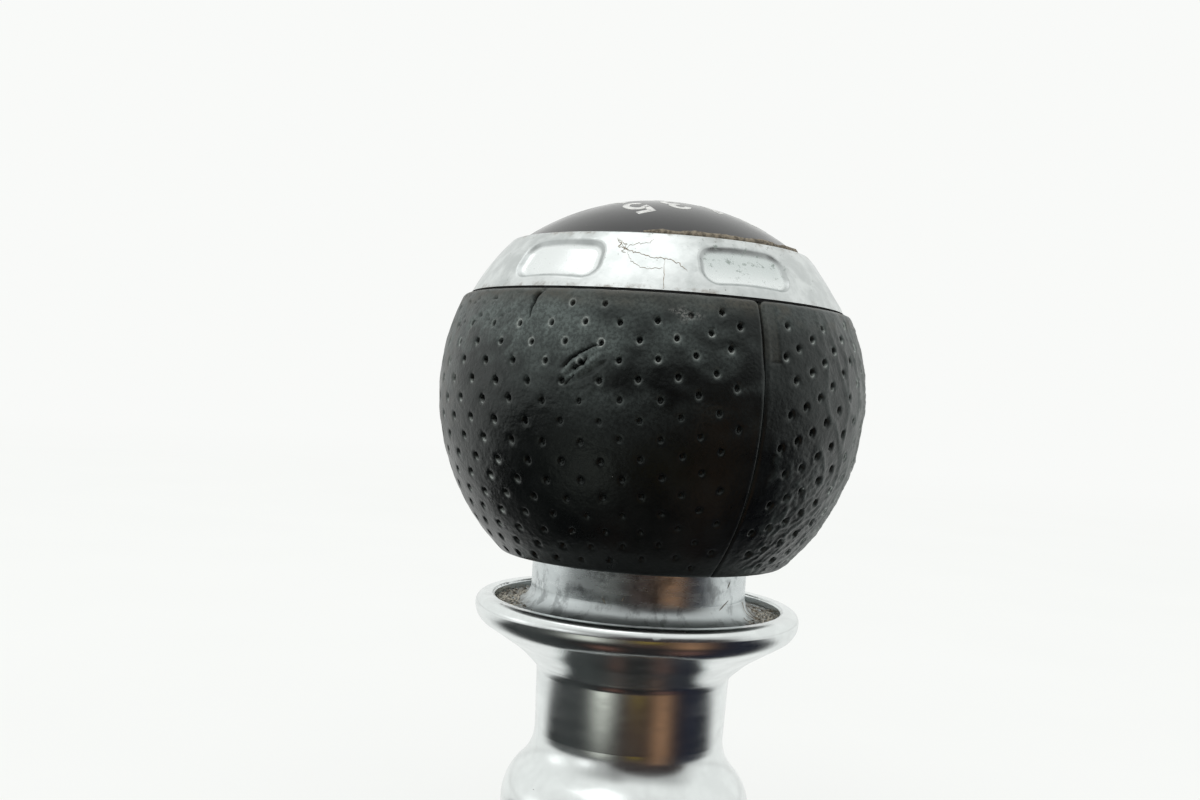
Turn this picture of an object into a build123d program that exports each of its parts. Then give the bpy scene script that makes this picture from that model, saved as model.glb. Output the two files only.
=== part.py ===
from build123d import *
from math import acos, asin, atan2, cos, degrees, hypot, radians, sin, sqrt, tan
import os

# A gear shift knob: a leather ball with a finger ring and a domed cap, over a sprung reverse lift collar.
# Millimetres, +Z up the lever, origin at the centre of the collar's foot, -Y towards the front of the car.

# Clearances
press_gap = 0.03        # pressed or glued seats, per side
run_gap = 0.06          # bushes that slide on the guide tube, per side
slide_gap = 0.6         # sleeve inside the ball, per side
stop_gap = 0.3          # left between the sleeve and the ball's hollow at full lift

# Lever, guide tube and lift
lever_r = 6.0           # bore for a 12 mm gear lever
bush_wall = 1.4         # steel lever bush
tube_wall = 2.3         # plastic guide tube
lift_travel = 4.5       # how far the collar is lifted to free reverse
lift_clear = 0.75       # left between the lip and the ball at full lift

# Lift collar
neck_gap = 1.6          # between the guide tube and the neck's bore
neck_wall = 1.3
neck_taper = 0.25       # the neck's growth in radius towards its top
neck_height = 7.4
skirt_bulge = 3.5       # how far the skirt stands out from the neck
skirt_height = 8.85
skirt_wall = 1.4
blend_r = 5.8           # the two arcs between skirt and neck
flare_step = 2.45       # steep part of the flare above the neck: its step outwards and its rise
flare_rise = 2.35
lip_reach = 7.95        # from the neck to the outside of the lip
lip_rise = 3.3          # from the end of the flare's steep part to the lip's lower corner
lip_width = 2.22
lip_under_r = 2.4       # roundings of the rolled lip
lip_top_r = 1.15
lip_flat = 0.05         # straight stretch between the two roundings
lip_edge_r = 0.35
crease_r = 1.4          # rounding where the flare leaves the neck
knee_r = 12.0           # gentle bend of the flare
foot_edge_r = 0.6       # rounding of the skirt's lower edge
collar_step_height = 2.5  # bore above the lower bush, before it narrows to the neck

# Lift sleeve
spring_room = 3.0       # between the guide tube and the sleeve
sleeve_wall = 1.4
sleeve_cover = 5.0      # sleeve inside the ball at rest
sleeve_edge_r = 0.4
dish_depth = 0.95       # dish floor below the lip
dish_plate = 1.4        # thickness of the sleeve's foot
dish_fillet = 2.2       # from the sleeve into the dish

# Slide bushes, spring and clips
upper_bush_height = 4.0
bush_edge_r = 0.4
bush_web = 1.2          # rims and web of the lower bush
lower_bush_height = 3.0
lower_bush_step = 1.0   # shoulder in the skirt that the lower bush is pressed against
lower_bush_inset = 4.5  # from the skirt's lower edge to the lower bush
spring_wire_r = 0.55
spring_turns = 5
clip_wire_r = 0.4
clip_opening = 50       # degrees
circlip_height = 1.0
circlip_depth = 0.65    # groove in the guide tube
circlip_width = 2.1
circlip_opening = 36    # degrees
circlip_eye_r = 0.55
circlip_ear = 0.65      # metal around an eye
tube_tail = 1.6         # guide tube below the circlip
tube_flange = 1.5       # thickness of the flange that takes the spring
tube_flange_edge = 0.25  # flange outside the spring
tube_spigot = 5.0       # length of the tube that is pressed into the core
tube_edge_r = 0.5

# Ball, leather and core
ball_r = 25.0
belly_r = 26.2          # fuller arc of the ball below its middle
leather = 1.1
leather_gap = 0.3       # dark line between leather and ring
leather_top_r = 0.8     # rounding of the leather's upper edge
leather_low_r = 0.7     # rounding of its lower edge
seam_gap = 0.04
seam_r = 0.55           # rounding of the panels along the seams
underside = 2.4         # flat leather under the ball
mouth_step = 1.0        # leather mouth wider than the hollow for the sleeve
core_web = 4.0          # core between the sleeve's hollow and the moulding pockets
core_roof = 1.6         # core above the lever bush
core_ring_wall = 3.0    # core around the lever bush
core_rib = 5.0          # ribs between the moulding pockets, which take the ring's pegs

# Finger ring and cap
ring_step = 0.65        # the ring's surface lies this far below the leather's
ring_base_lat = 25.95   # degrees above the ball's middle
ring_top_lat = 44.1
ring_wall = 2.3
ring_land = 0.75        # rim of the ring around the cap
ring_edge_r = 0.3
pocket_count = 6
pocket_half_angle = 16.6
pocket_margin = 2.7     # degrees of ring above and below a pocket
pocket_depth = 0.6
pocket_corner_r = 2.5
pocket_dish_r = 1.8     # the pocket's floor curves up into its walls
pocket_rim_r = 0.5
peg_count = 3
peg_r = 1.3
peg_bite = 0.4          # how far a peg is sunk into the ring's wall
peg_length = 4.0
peg_root = 2.0          # peg inside the ring
peg_bottom_gap = 0.5
cap_gap = 0.1
cap_rise = 5.85         # apex of the cap above the ring
cap_edge = 1.5          # height of the cap's edge inside the ring
cap_wall = 2.0
ledge = 1.5             # width of the cap's seat in the ring
ledge_height = 1.2
hook_count = 4
hook_angle = 26         # degrees of arc that a hook takes
hook_wall = 1.2
hook_barb = 0.6
hook_tip = 1.3          # height of a hook's barb

# Radii that follow from the lever outwards
bush_r = lever_r + bush_wall
tube_r = lever_r + tube_wall
neck_bore_r = tube_r + neck_gap
neck_r = neck_bore_r + neck_wall
neck_top_r = neck_r + neck_taper
skirt_r = neck_r + skirt_bulge
skirt_bore_r = skirt_r - skirt_wall
lip_r = neck_r + lip_reach
lip_inner_r = lip_r - lip_width
sleeve_bore_r = tube_r + spring_room
sleeve_r = sleeve_bore_r + sleeve_wall
hollow_r = sleeve_r + slide_gap
mouth_r = hollow_r + mouth_step
underside_r = mouth_r + underside
spring_r = (tube_r + sleeve_bore_r) / 2
tube_flange_r = spring_r + spring_wire_r + tube_flange_edge
circlip_r = tube_r - circlip_depth

# Heights of the collar, from its foot upwards
blend_rise = sqrt(4 * blend_r * skirt_bulge - skirt_bulge**2)
neck_low_z = skirt_height + blend_rise
crease_z = neck_low_z + neck_height
knee_z = crease_z + flare_rise
lip_low_z = knee_z + lip_rise
lip_turn = atan2(lip_r - neck_top_r - flare_step, lip_rise)
lip_top_z = lip_low_z + lip_under_r * tan(lip_turn / 2) + lip_flat + lip_top_r
dish_z = lip_top_z - dish_depth
shelf_z = dish_z - dish_plate
upper_bush_z = shelf_z + upper_bush_height
lower_bush_z = lower_bush_inset + lower_bush_height
circlip_z = lower_bush_inset - run_gap - circlip_height
tube_low_z = circlip_z - press_gap - tube_tail

# Heights of the ball
leather_low_z = lip_top_z + lift_travel + lift_clear
belly_x = ball_r - belly_r
ball_z = leather_low_z + sqrt(belly_r**2 - (underside_r - belly_x)**2)
ring_r = ball_r - ring_step
ring_base_z = ball_z + ring_r * sin(radians(ring_base_lat))
ring_top_z = ball_z + ring_r * sin(radians(ring_top_lat))
ring_base_r = ring_r * cos(radians(ring_base_lat))
ring_top_r = ring_r * cos(radians(ring_top_lat))
leather_top_z = ring_base_z - leather_gap
core_low_z = leather_low_z + leather + press_gap
core_r = ball_r - leather - press_gap
core_belly_r = belly_r - leather - press_gap
sleeve_top_z = core_low_z + sleeve_cover
ceiling_z = sleeve_top_z + lift_travel + stop_gap
bush_top_z = ring_base_z - core_roof
clip_z = (ceiling_z + tube_spigot + bush_top_z) / 2

# The cap and its seat in the ring
cap_hole_r = ring_top_r - ring_land
cap_r = cap_hole_r - cap_gap
cap_seat_z = ring_top_z - cap_edge
dome_r = (cap_r**2 + cap_rise**2) / (2 * cap_rise)
dome_z = ring_top_z + cap_rise - dome_r
ledge_r = cap_hole_r - ledge
ring_base_in_r = ring_base_r - ring_wall
peg_circle_r = ring_base_in_r - peg_r + peg_bite


def turned(*corners):
    """Solid of revolution about Z of a closed outline of corners (radius, height, rounding)."""
    points = [(corner[0], corner[1]) for corner in corners]
    roundings = [corner[2] if len(corner) > 2 else 0 for corner in corners]
    outline = FilletPolyline(*points, radius=roundings, close=True)
    return revolve(Plane.XZ * make_face(outline), Axis.Z)


def outlined(*lines):
    """Solid of revolution about Z of an outline made of lines and arcs."""
    edges = [edge for line in lines for edge in line.edges()]
    return revolve(Plane.XZ * make_face(edges), Axis.Z)


def around(shape, count, first=0):
    """Copies of a shape, evenly spaced about Z."""
    return [Rot(0, 0, first + 360 * index / count) * shape for index in range(count)]


def ball_arcs(upper_r, lower_r, top_z, low_z):
    """The ball's two arcs, above and below its middle, between two heights."""
    top_angle = degrees(asin((top_z - ball_z) / upper_r))
    low_angle = degrees(asin((ball_z - low_z) / lower_r))
    upper = CenterArc((0, ball_z), upper_r, 0, top_angle)
    lower = CenterArc((belly_x, ball_z), lower_r, -low_angle, low_angle)
    return upper, lower


def make_collar():
    """Turned collar: skirt, two blend arcs, waisted neck, flare, rolled lip, shelf and stepped bore."""
    step_r = skirt_bore_r - lower_bush_step
    cone_z = lower_bush_z + collar_step_height
    corners = (
        (neck_top_r, crease_z, crease_r),
        (neck_top_r + flare_step, knee_z, knee_r),
        (lip_r, lip_low_z, lip_under_r),
        (lip_r, lip_top_z, lip_top_r),
        (lip_inner_r, lip_top_z, lip_edge_r),
        (lip_inner_r, shelf_z, 0),
        (neck_bore_r, shelf_z, 0),
        (neck_bore_r, cone_z + step_r - neck_bore_r, 0),
        (step_r, cone_z, 0),
        (step_r, lower_bush_z, 0),
        (skirt_bore_r, lower_bush_z, 0),
        (skirt_bore_r, 0, 0),
        (skirt_r, 0, foot_edge_r),
    )
    blend_angle = degrees(acos(1 - skirt_bulge / (2 * blend_r)))
    skirt_arc = CenterArc((skirt_r - blend_r, skirt_height), blend_r, 0, blend_angle)
    neck_arc = CenterArc((neck_r + blend_r, neck_low_z), blend_r, 180, blend_angle)
    outline = FilletPolyline(
        (neck_r, neck_low_z),
        *[corner[0:2] for corner in corners],
        (skirt_r, skirt_height),
        radius=[corner[2] for corner in corners],
    )
    return outlined(outline, skirt_arc, neck_arc)


def make_sleeve():
    """Sleeve with a dished foot that is pressed inside the collar's lip."""
    foot_r = lip_inner_r - press_gap
    return turned(
        (sleeve_bore_r, shelf_z),
        (foot_r, shelf_z),
        (foot_r, dish_z),
        (sleeve_r, dish_z, dish_fillet),
        (sleeve_r, sleeve_top_z, sleeve_edge_r),
        (sleeve_bore_r, sleeve_top_z),
    )


def make_upper_bush():
    inner_r = tube_r + run_gap
    outer_r = sleeve_bore_r - press_gap
    return turned(
        (inner_r, shelf_z, bush_edge_r),
        (outer_r, shelf_z),
        (outer_r, upper_bush_z),
        (inner_r, upper_bush_z, bush_edge_r),
    )


def make_lower_bush():
    """Bush with a hub, a rim and a moulding groove between them, open downwards."""
    inner_r = tube_r + run_gap
    outer_r = skirt_bore_r - press_gap
    hub_r = circlip_r + circlip_width + bush_web
    return turned(
        (inner_r, lower_bush_inset),
        (hub_r, lower_bush_inset),
        (hub_r, lower_bush_z - bush_web),
        (outer_r - bush_web, lower_bush_z - bush_web),
        (outer_r - bush_web, lower_bush_inset),
        (outer_r, lower_bush_inset, bush_edge_r),
        (outer_r, lower_bush_z),
        (inner_r, lower_bush_z),
    )


def make_guide_tube():
    """Tube with a circlip groove, a flange for the spring and a spigot around the lever bush."""
    spigot_z = ceiling_z + tube_spigot
    flange_z = ceiling_z - tube_flange
    groove_low_z = circlip_z - press_gap
    groove_top_z = circlip_z + circlip_height + press_gap
    return turned(
        (lever_r, tube_low_z),
        (tube_r, tube_low_z, tube_edge_r),
        (tube_r, groove_low_z),
        (circlip_r, groove_low_z),
        (circlip_r, groove_top_z),
        (tube_r, groove_top_z),
        (tube_r, flange_z),
        (tube_flange_r, flange_z),
        (tube_flange_r, ceiling_z),
        (tube_r, ceiling_z),
        (tube_r, spigot_z),
        (bush_r + press_gap, spigot_z),
        (bush_r + press_gap, ceiling_z),
        (lever_r, ceiling_z),
    )


def make_lever_bush():
    """Steel bush with the lever's bore and a groove for the wire clip."""
    groove_r = lever_r + 2 * clip_wire_r + 2 * press_gap
    groove_half = clip_wire_r + press_gap
    return turned(
        (lever_r, ceiling_z),
        (bush_r, ceiling_z),
        (bush_r, bush_top_z),
        (lever_r, bush_top_z),
        (lever_r, clip_z + groove_half),
        (groove_r, clip_z + groove_half),
        (groove_r, clip_z - groove_half),
        (lever_r, clip_z - groove_half),
    )


def make_lever_clip():
    """Open ring of round wire, spread as it is on a lever, with its opening at the back."""
    wire = Plane.XZ * Pos(lever_r + clip_wire_r + press_gap, clip_z) * Circle(clip_wire_r)
    return Rot(0, 0, 90 + clip_opening / 2) * revolve(wire, Axis.Z, 360 - clip_opening)


def make_circlip():
    """Retaining ring with an eye at each end of its opening, which is at the back."""
    inner_r = circlip_r + press_gap
    outer_r = circlip_r + circlip_width
    eye_circle_r = outer_r - circlip_eye_r
    ring = Circle(outer_r) - Circle(inner_r)
    half = radians(circlip_opening / 2)
    corner_x = 2 * outer_r * sin(half)
    corner_y = 2 * outer_r * cos(half)
    ring -= Polygon((0, 0), (corner_x, corner_y), (-corner_x, corner_y), align=None)
    for side in (-1, 1):
        place = Pos(side * eye_circle_r * sin(half), eye_circle_r * cos(half))
        ring += place * Circle(circlip_eye_r + circlip_ear)
        ring -= place * Circle(circlip_eye_r)
    ring -= Circle(inner_r)
    return Pos(0, 0, circlip_z) * extrude(ring, circlip_height)


def make_spring():
    low_z = upper_bush_z + spring_wire_r + press_gap
    top_z = ceiling_z - tube_flange - spring_wire_r - press_gap
    coil = Helix((top_z - low_z) / spring_turns, top_z - low_z, spring_r, center=(0, 0, low_z))
    return sweep((coil ^ 0) * Circle(spring_wire_r), path=coil, is_frenet=True)


def make_core():
    """Moulded ball with the sleeve's hollow, a stepped hole for tube and bush, and ribbed pockets."""
    upper, lower = ball_arcs(core_r, core_belly_r, ring_base_z, core_low_z)
    spigot_z = ceiling_z + tube_spigot + press_gap
    inside = Polyline(
        upper @ 1,
        (0, ring_base_z),
        (0, bush_top_z),
        (bush_r + press_gap, bush_top_z),
        (bush_r + press_gap, spigot_z),
        (tube_r + press_gap, spigot_z),
        (tube_r + press_gap, ceiling_z),
        (hollow_r, ceiling_z),
        (hollow_r, core_low_z),
        lower @ 0,
    )
    core = outlined(upper, lower, inside)
    pocket_in_r = bush_r + core_ring_wall
    pocket_low_z = ceiling_z + core_web
    pockets = turned(
        (pocket_in_r, pocket_low_z),
        (ring_base_in_r, pocket_low_z),
        (ring_base_in_r, ring_base_z),
        (pocket_in_r, ring_base_z),
    )
    rib = Pos(0, 0, ball_z) * Box(2 * ball_r, core_rib, 2 * ball_r)
    pockets -= around(rib, peg_count)
    hole_length = peg_length + peg_bottom_gap
    hole = Pos(peg_circle_r, 0, ring_base_z - hole_length / 2) * Cylinder(peg_r + press_gap, hole_length)
    return core - pockets - around(hole, peg_count)


def make_leather_right():
    """Leather panel on the +X side, turned in under the ball and rounded along both seams."""
    upper, lower = ball_arcs(ball_r, belly_r, leather_top_z, leather_low_z)
    inner = (ball_r - leather, belly_r - leather, leather_top_z, leather_low_z + leather)
    inner_upper, inner_lower = ball_arcs(*inner)
    fold = Polyline(
        lower @ 0,
        (mouth_r, leather_low_z),
        (mouth_r, leather_low_z + leather),
        inner_lower @ 0,
    )
    edge = Line(upper @ 1, inner_upper @ 1)
    section = make_face([upper, lower, *fold.edges(), inner_lower, inner_upper, edge])
    section = fillet(section.vertices().sort_by_distance(upper @ 1)[0], leather_top_r)
    section = fillet(section.vertices().sort_by_distance(lower @ 0)[0], leather_low_r)
    panel = Rot(0, 0, -90) * revolve(Plane.XZ * section, Axis.Z, 180)
    panel -= Pos(0, 0, ball_z) * Box(seam_gap, 3 * ball_r, 3 * ball_r)
    seams = [edge for edge in panel.edges() if is_outer_seam(edge)]
    return fillet(seams, seam_r)


def is_outer_seam(edge):
    """True for an edge of a panel that runs down the ball's outside along a seam."""
    middle = edge @ 0.5
    upper_half = middle.Z > ball_z
    arc_r = ball_r if upper_half else belly_r
    arc_x = 0 if upper_half else belly_x
    from_arc_centre = hypot(hypot(middle.X, middle.Y) - arc_x, middle.Z - ball_z)
    return abs(middle.X - seam_gap / 2) < press_gap and from_arc_centre > arc_r - leather / 2


def make_ring():
    """Ring on the ball's curve, with the cap's seat, pegs for the core and a row of dished pockets."""
    surface = CenterArc((0, ball_z), ring_r, ring_base_lat, ring_top_lat - ring_base_lat)
    inside = Polyline(
        surface @ 1,
        (cap_hole_r, ring_top_z),
        (cap_hole_r, cap_seat_z),
        (ledge_r, cap_seat_z),
        (ledge_r, cap_seat_z - ledge_height),
        (cap_hole_r, cap_seat_z - ledge_height),
        (ring_base_in_r, ring_base_z),
        surface @ 0,
    )
    ring = outlined(surface, inside)
    rim = ring.edges().filter_by(GeomType.CIRCLE).group_by(Axis.Z)[-1].sort_by(SortBy.RADIUS)[-1]
    ring = fillet(rim, ring_edge_r)
    ring -= around(make_pocket(), pocket_count)
    ring = fillet(pocket_edges(ring, ring_r), pocket_rim_r)
    peg_height = peg_length + peg_root
    peg = Pos(peg_circle_r, 0, ring_base_z + peg_root - peg_height / 2) * Cylinder(peg_r, peg_height)
    return ring + around(peg, peg_count)


def pocket_edges(shape, radius):
    """A shape's edges around its pockets that lie on a sphere of that radius about the ball's middle."""
    low_lat = ring_base_lat + pocket_margin / 2
    top_lat = ring_top_lat - pocket_margin / 2
    edges = []
    for edge in shape.edges():
        offset = edge @ 0.5 - Vector(0, 0, ball_z)
        lat = degrees(asin(offset.Z / offset.length))
        if abs(offset.length - radius) < press_gap and low_lat < lat < top_lat:
            edges.append(edge)
    return edges


def make_pocket():
    """Cutter for one pocket at the front: a rounded trapezoid whose floor follows the ring's curve."""
    low_lat = radians(ring_base_lat + pocket_margin)
    top_lat = radians(ring_top_lat - pocket_margin)
    middle_lat = (low_lat + top_lat) / 2
    # the dished wall leans in, so the cutter is wider than the pocket's opening
    lean = pocket_dish_r - sqrt(pocket_dish_r**2 - (pocket_dish_r - pocket_depth) ** 2)
    height = 2 * ring_r * sin((top_lat - low_lat) / 2) + 2 * lean
    low_width = 2 * ring_r * cos(low_lat) * sin(radians(pocket_half_angle)) + 2 * lean
    top_width = 2 * ring_r * cos(top_lat) * sin(radians(pocket_half_angle)) + 2 * lean
    side = degrees(atan2(height, (low_width - top_width) / 2))
    outline = Trapezoid(low_width, height, side)
    outline = fillet(outline.vertices(), min(pocket_corner_r, height / 2 - press_gap))
    outwards = Vector(0, -cos(middle_lat), sin(middle_lat))
    plug = extrude(Plane((0, 0, ball_z), (1, 0, 0), outwards) * outline, 2 * ring_r)
    plug -= Pos(0, 0, ball_z) * Sphere(ring_r - pocket_depth)
    return fillet(pocket_edges(plug, ring_r - pocket_depth), pocket_dish_r)


def make_cap():
    """Domed cap with an edge that sits in the ring and hooks that snap under the ring's ledge."""
    under_r = dome_r - cap_wall
    apex_z = dome_z + dome_r
    edge_angle = degrees(asin((ring_top_z - dome_z) / dome_r))
    under_angle = degrees(asin((cap_seat_z - dome_z) / under_r))
    dome = CenterArc((0, dome_z), dome_r, edge_angle, 90 - edge_angle)
    under = CenterArc((0, dome_z), under_r, under_angle, 90 - under_angle)
    edge = Polyline(dome @ 0, (cap_r, cap_seat_z), under @ 0)
    cap = outlined(dome, under, edge, Line((0, apex_z), (0, apex_z - cap_wall)))
    return cap + around(make_hook(under_r), hook_count, 360 / hook_count / 2)


def make_hook(under_r):
    """One snap hook, from inside the dome's wall down to its barb under the ledge."""
    outer_r = ledge_r - cap_gap
    inner_r = outer_r - hook_wall
    barb_r = outer_r + hook_barb
    catch_z = cap_seat_z - ledge_height - cap_gap
    root_z = dome_z + sqrt(under_r**2 - outer_r**2) + cap_wall / 2
    outline = Polyline(
        (inner_r, catch_z - hook_tip),
        (outer_r, catch_z - hook_tip),
        (barb_r, catch_z - hook_tip / 2),
        (barb_r, catch_z),
        (outer_r, catch_z),
        (outer_r, root_z),
        (inner_r, root_z),
        close=True,
    )
    hook = revolve(Plane.XZ * make_face(outline), Axis.Z, hook_angle)
    return Rot(0, 0, -hook_angle / 2) * hook


def write(name, shape):
    export_step(shape, os.path.join("parts", name + ".step"))


os.makedirs("parts", exist_ok=True)
leather_right = make_leather_right()
write("leather_right", leather_right)
write("leather_left", mirror(leather_right, about=Plane.YZ))
write("knob_core", make_core())
write("trim_ring", make_ring())
write("pattern_cap", make_cap())
write("lever_bush", make_lever_bush())
write("lever_clip", make_lever_clip())
write("guide_tube", make_guide_tube())
write("end_circlip", make_circlip())
write("return_spring", make_spring())
write("lift_sleeve", make_sleeve())
write("lift_collar", make_collar())
write("upper_bush", make_upper_bush())
write("lower_bush", make_lower_bush())
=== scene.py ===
import bmesh
import bpy
import numpy as np
from math import atan2, cos, pi, radians, sin, sqrt
from typing import NamedTuple
from mathutils import Matrix, Vector, noise
from mathutils.bvhtree import BVHTree
from mathutils.geometry import delaunay_2d_cdt
from mathutils.kdtree import KDTree


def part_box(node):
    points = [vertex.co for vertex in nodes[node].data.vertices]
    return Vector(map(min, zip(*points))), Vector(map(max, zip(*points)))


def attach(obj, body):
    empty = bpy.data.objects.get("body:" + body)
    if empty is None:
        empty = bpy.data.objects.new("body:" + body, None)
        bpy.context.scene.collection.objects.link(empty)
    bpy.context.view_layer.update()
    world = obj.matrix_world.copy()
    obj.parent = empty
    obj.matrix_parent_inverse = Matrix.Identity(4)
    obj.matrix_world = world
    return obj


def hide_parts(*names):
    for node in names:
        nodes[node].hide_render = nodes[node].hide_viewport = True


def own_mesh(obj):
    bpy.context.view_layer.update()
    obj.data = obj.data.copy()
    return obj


# A worn gear shift knob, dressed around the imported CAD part.
# Lengths are in millimetres until they go into a mesh, a material or a light, which are in metres.

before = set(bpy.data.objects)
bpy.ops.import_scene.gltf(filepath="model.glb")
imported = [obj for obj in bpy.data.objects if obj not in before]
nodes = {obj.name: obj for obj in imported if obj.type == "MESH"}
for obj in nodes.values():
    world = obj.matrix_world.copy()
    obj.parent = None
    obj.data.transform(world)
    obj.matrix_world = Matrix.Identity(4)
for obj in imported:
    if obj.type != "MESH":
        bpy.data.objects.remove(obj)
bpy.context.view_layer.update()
rng = np.random.default_rng(7)
MM = 0.001
DEGREE = radians(1)

# Sizes that the CAD part has
BALL_Z = 57.1117
BALL_R = 25.0
BELLY_R = 26.2
BELLY_X = BALL_R - BELLY_R
LEATHER = 1.1
LEATHER_TOP_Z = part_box("leather_left")[1].z / MM
LEATHER_LOW_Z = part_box("leather_left")[0].z / MM
LEATHER_TOP_ROUND = 0.8
LEATHER_LOW_ROUND = 0.7
MOUTH_R = 14.3
SEAM_HALF = 0.02
SEAM_ROUND = 0.55
DOME_Z = 53.3267
DOME_R = 26.5805
CAP_R = 16.6364
RING_TOP_Z = 74.0572
RING_R = 24.35
SLEEVE_R = 12.7
DISH_Z = 31.7798
DISH_ROUND = 2.2
LIP_INNER_R = 16.93

# The photo's camera, found by fitting the knob's outlines.
# It looks at the ball from 27.5 degrees left of the front.
CAMERA_TURN_DEGREES = 27.5
CAMERA_TURN = radians(CAMERA_TURN_DEGREES)
CAMERA_YAW = radians(-2.357)
CAMERA_PITCH = radians(-0.345)
CAMERA_ROLL = radians(3.779)
CAMERA_FROM_BALL = (0, -145.3, -0.15)
CAMERA_CLIP = 5
PHOTO_WIDTH = 1200
PHOTO_FOCAL = 1218
SENSOR = 36

# values that a leather panel's mesh carries for its material: wear, with painted sheen, painted highlights
# and painted shade
WEAR_VALUES = ("dust_and_sheen", "stain", "scuff_and_sheen", "cut_shade", "lip")


def smooth(value, low, high):
    """0 below low, 1 above high, and a smooth step between them. Works downwards too, with low above high."""
    t = np.clip((value - low) / (high - low), 0, 1)
    return t * t * (3 - 2 * t)


def bell(value, middle, width):
    """1 at the middle, falling off to both sides."""
    return np.exp(-(((value - middle) / width) ** 2))


def perlin(x, y, scale_x, scale_y, seed):
    """Noise between about -1 and 1 over two arrays."""
    return np.array([noise.noise(Vector((u, v, seed))) for u, v in zip(x / scale_x, y / scale_y)])


def ridges(x, y, scale_x, scale_y, seed, sharpness):
    """Narrow ridges of height 1 along the lines where the noise is 0."""
    return (1 - np.abs(perlin(x, y, scale_x, scale_y, seed))) ** sharpness


def from_camera_frame(vector):
    """A vector of the camera's own frame, in which it stands on -Y of the ball, in the part's frame."""
    x, y, z = vector
    turn_cos, turn_sin = cos(CAMERA_TURN), sin(CAMERA_TURN)
    return Vector((x * turn_cos + y * turn_sin, -x * turn_sin + y * turn_cos, z))


def around(radius, azimuth, z):
    """A point around the knob's axis, at an azimuth in degrees from the front."""
    return Vector((radius * sin(radians(azimuth)), -radius * cos(radians(azimuth)), z))


def add_object(name, points, faces, material):
    """A mesh object from points in millimetres."""
    mesh = bpy.data.meshes.new(name)
    mesh.from_pydata((np.asarray(points) * MM).tolist(), [], faces)
    mesh.materials.append(material)
    made = bpy.data.objects.new(name, mesh)
    bpy.context.scene.collection.objects.link(made)
    return made


def add_piece(name, points, faces, body, material):
    """A smooth mesh that rides on a body."""
    piece = add_object(name, points, faces, material)
    piece.data.polygons.foreach_set("use_smooth", [True] * len(piece.data.polygons))
    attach(piece, body)
    return piece


def add_values(piece, name, values):
    """A number for each point of a piece, which its material reads by name."""
    attribute = piece.data.attributes.new(name, "FLOAT", "POINT")
    attribute.data.foreach_set("value", np.asarray(values, np.float32))


# Materials

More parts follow.
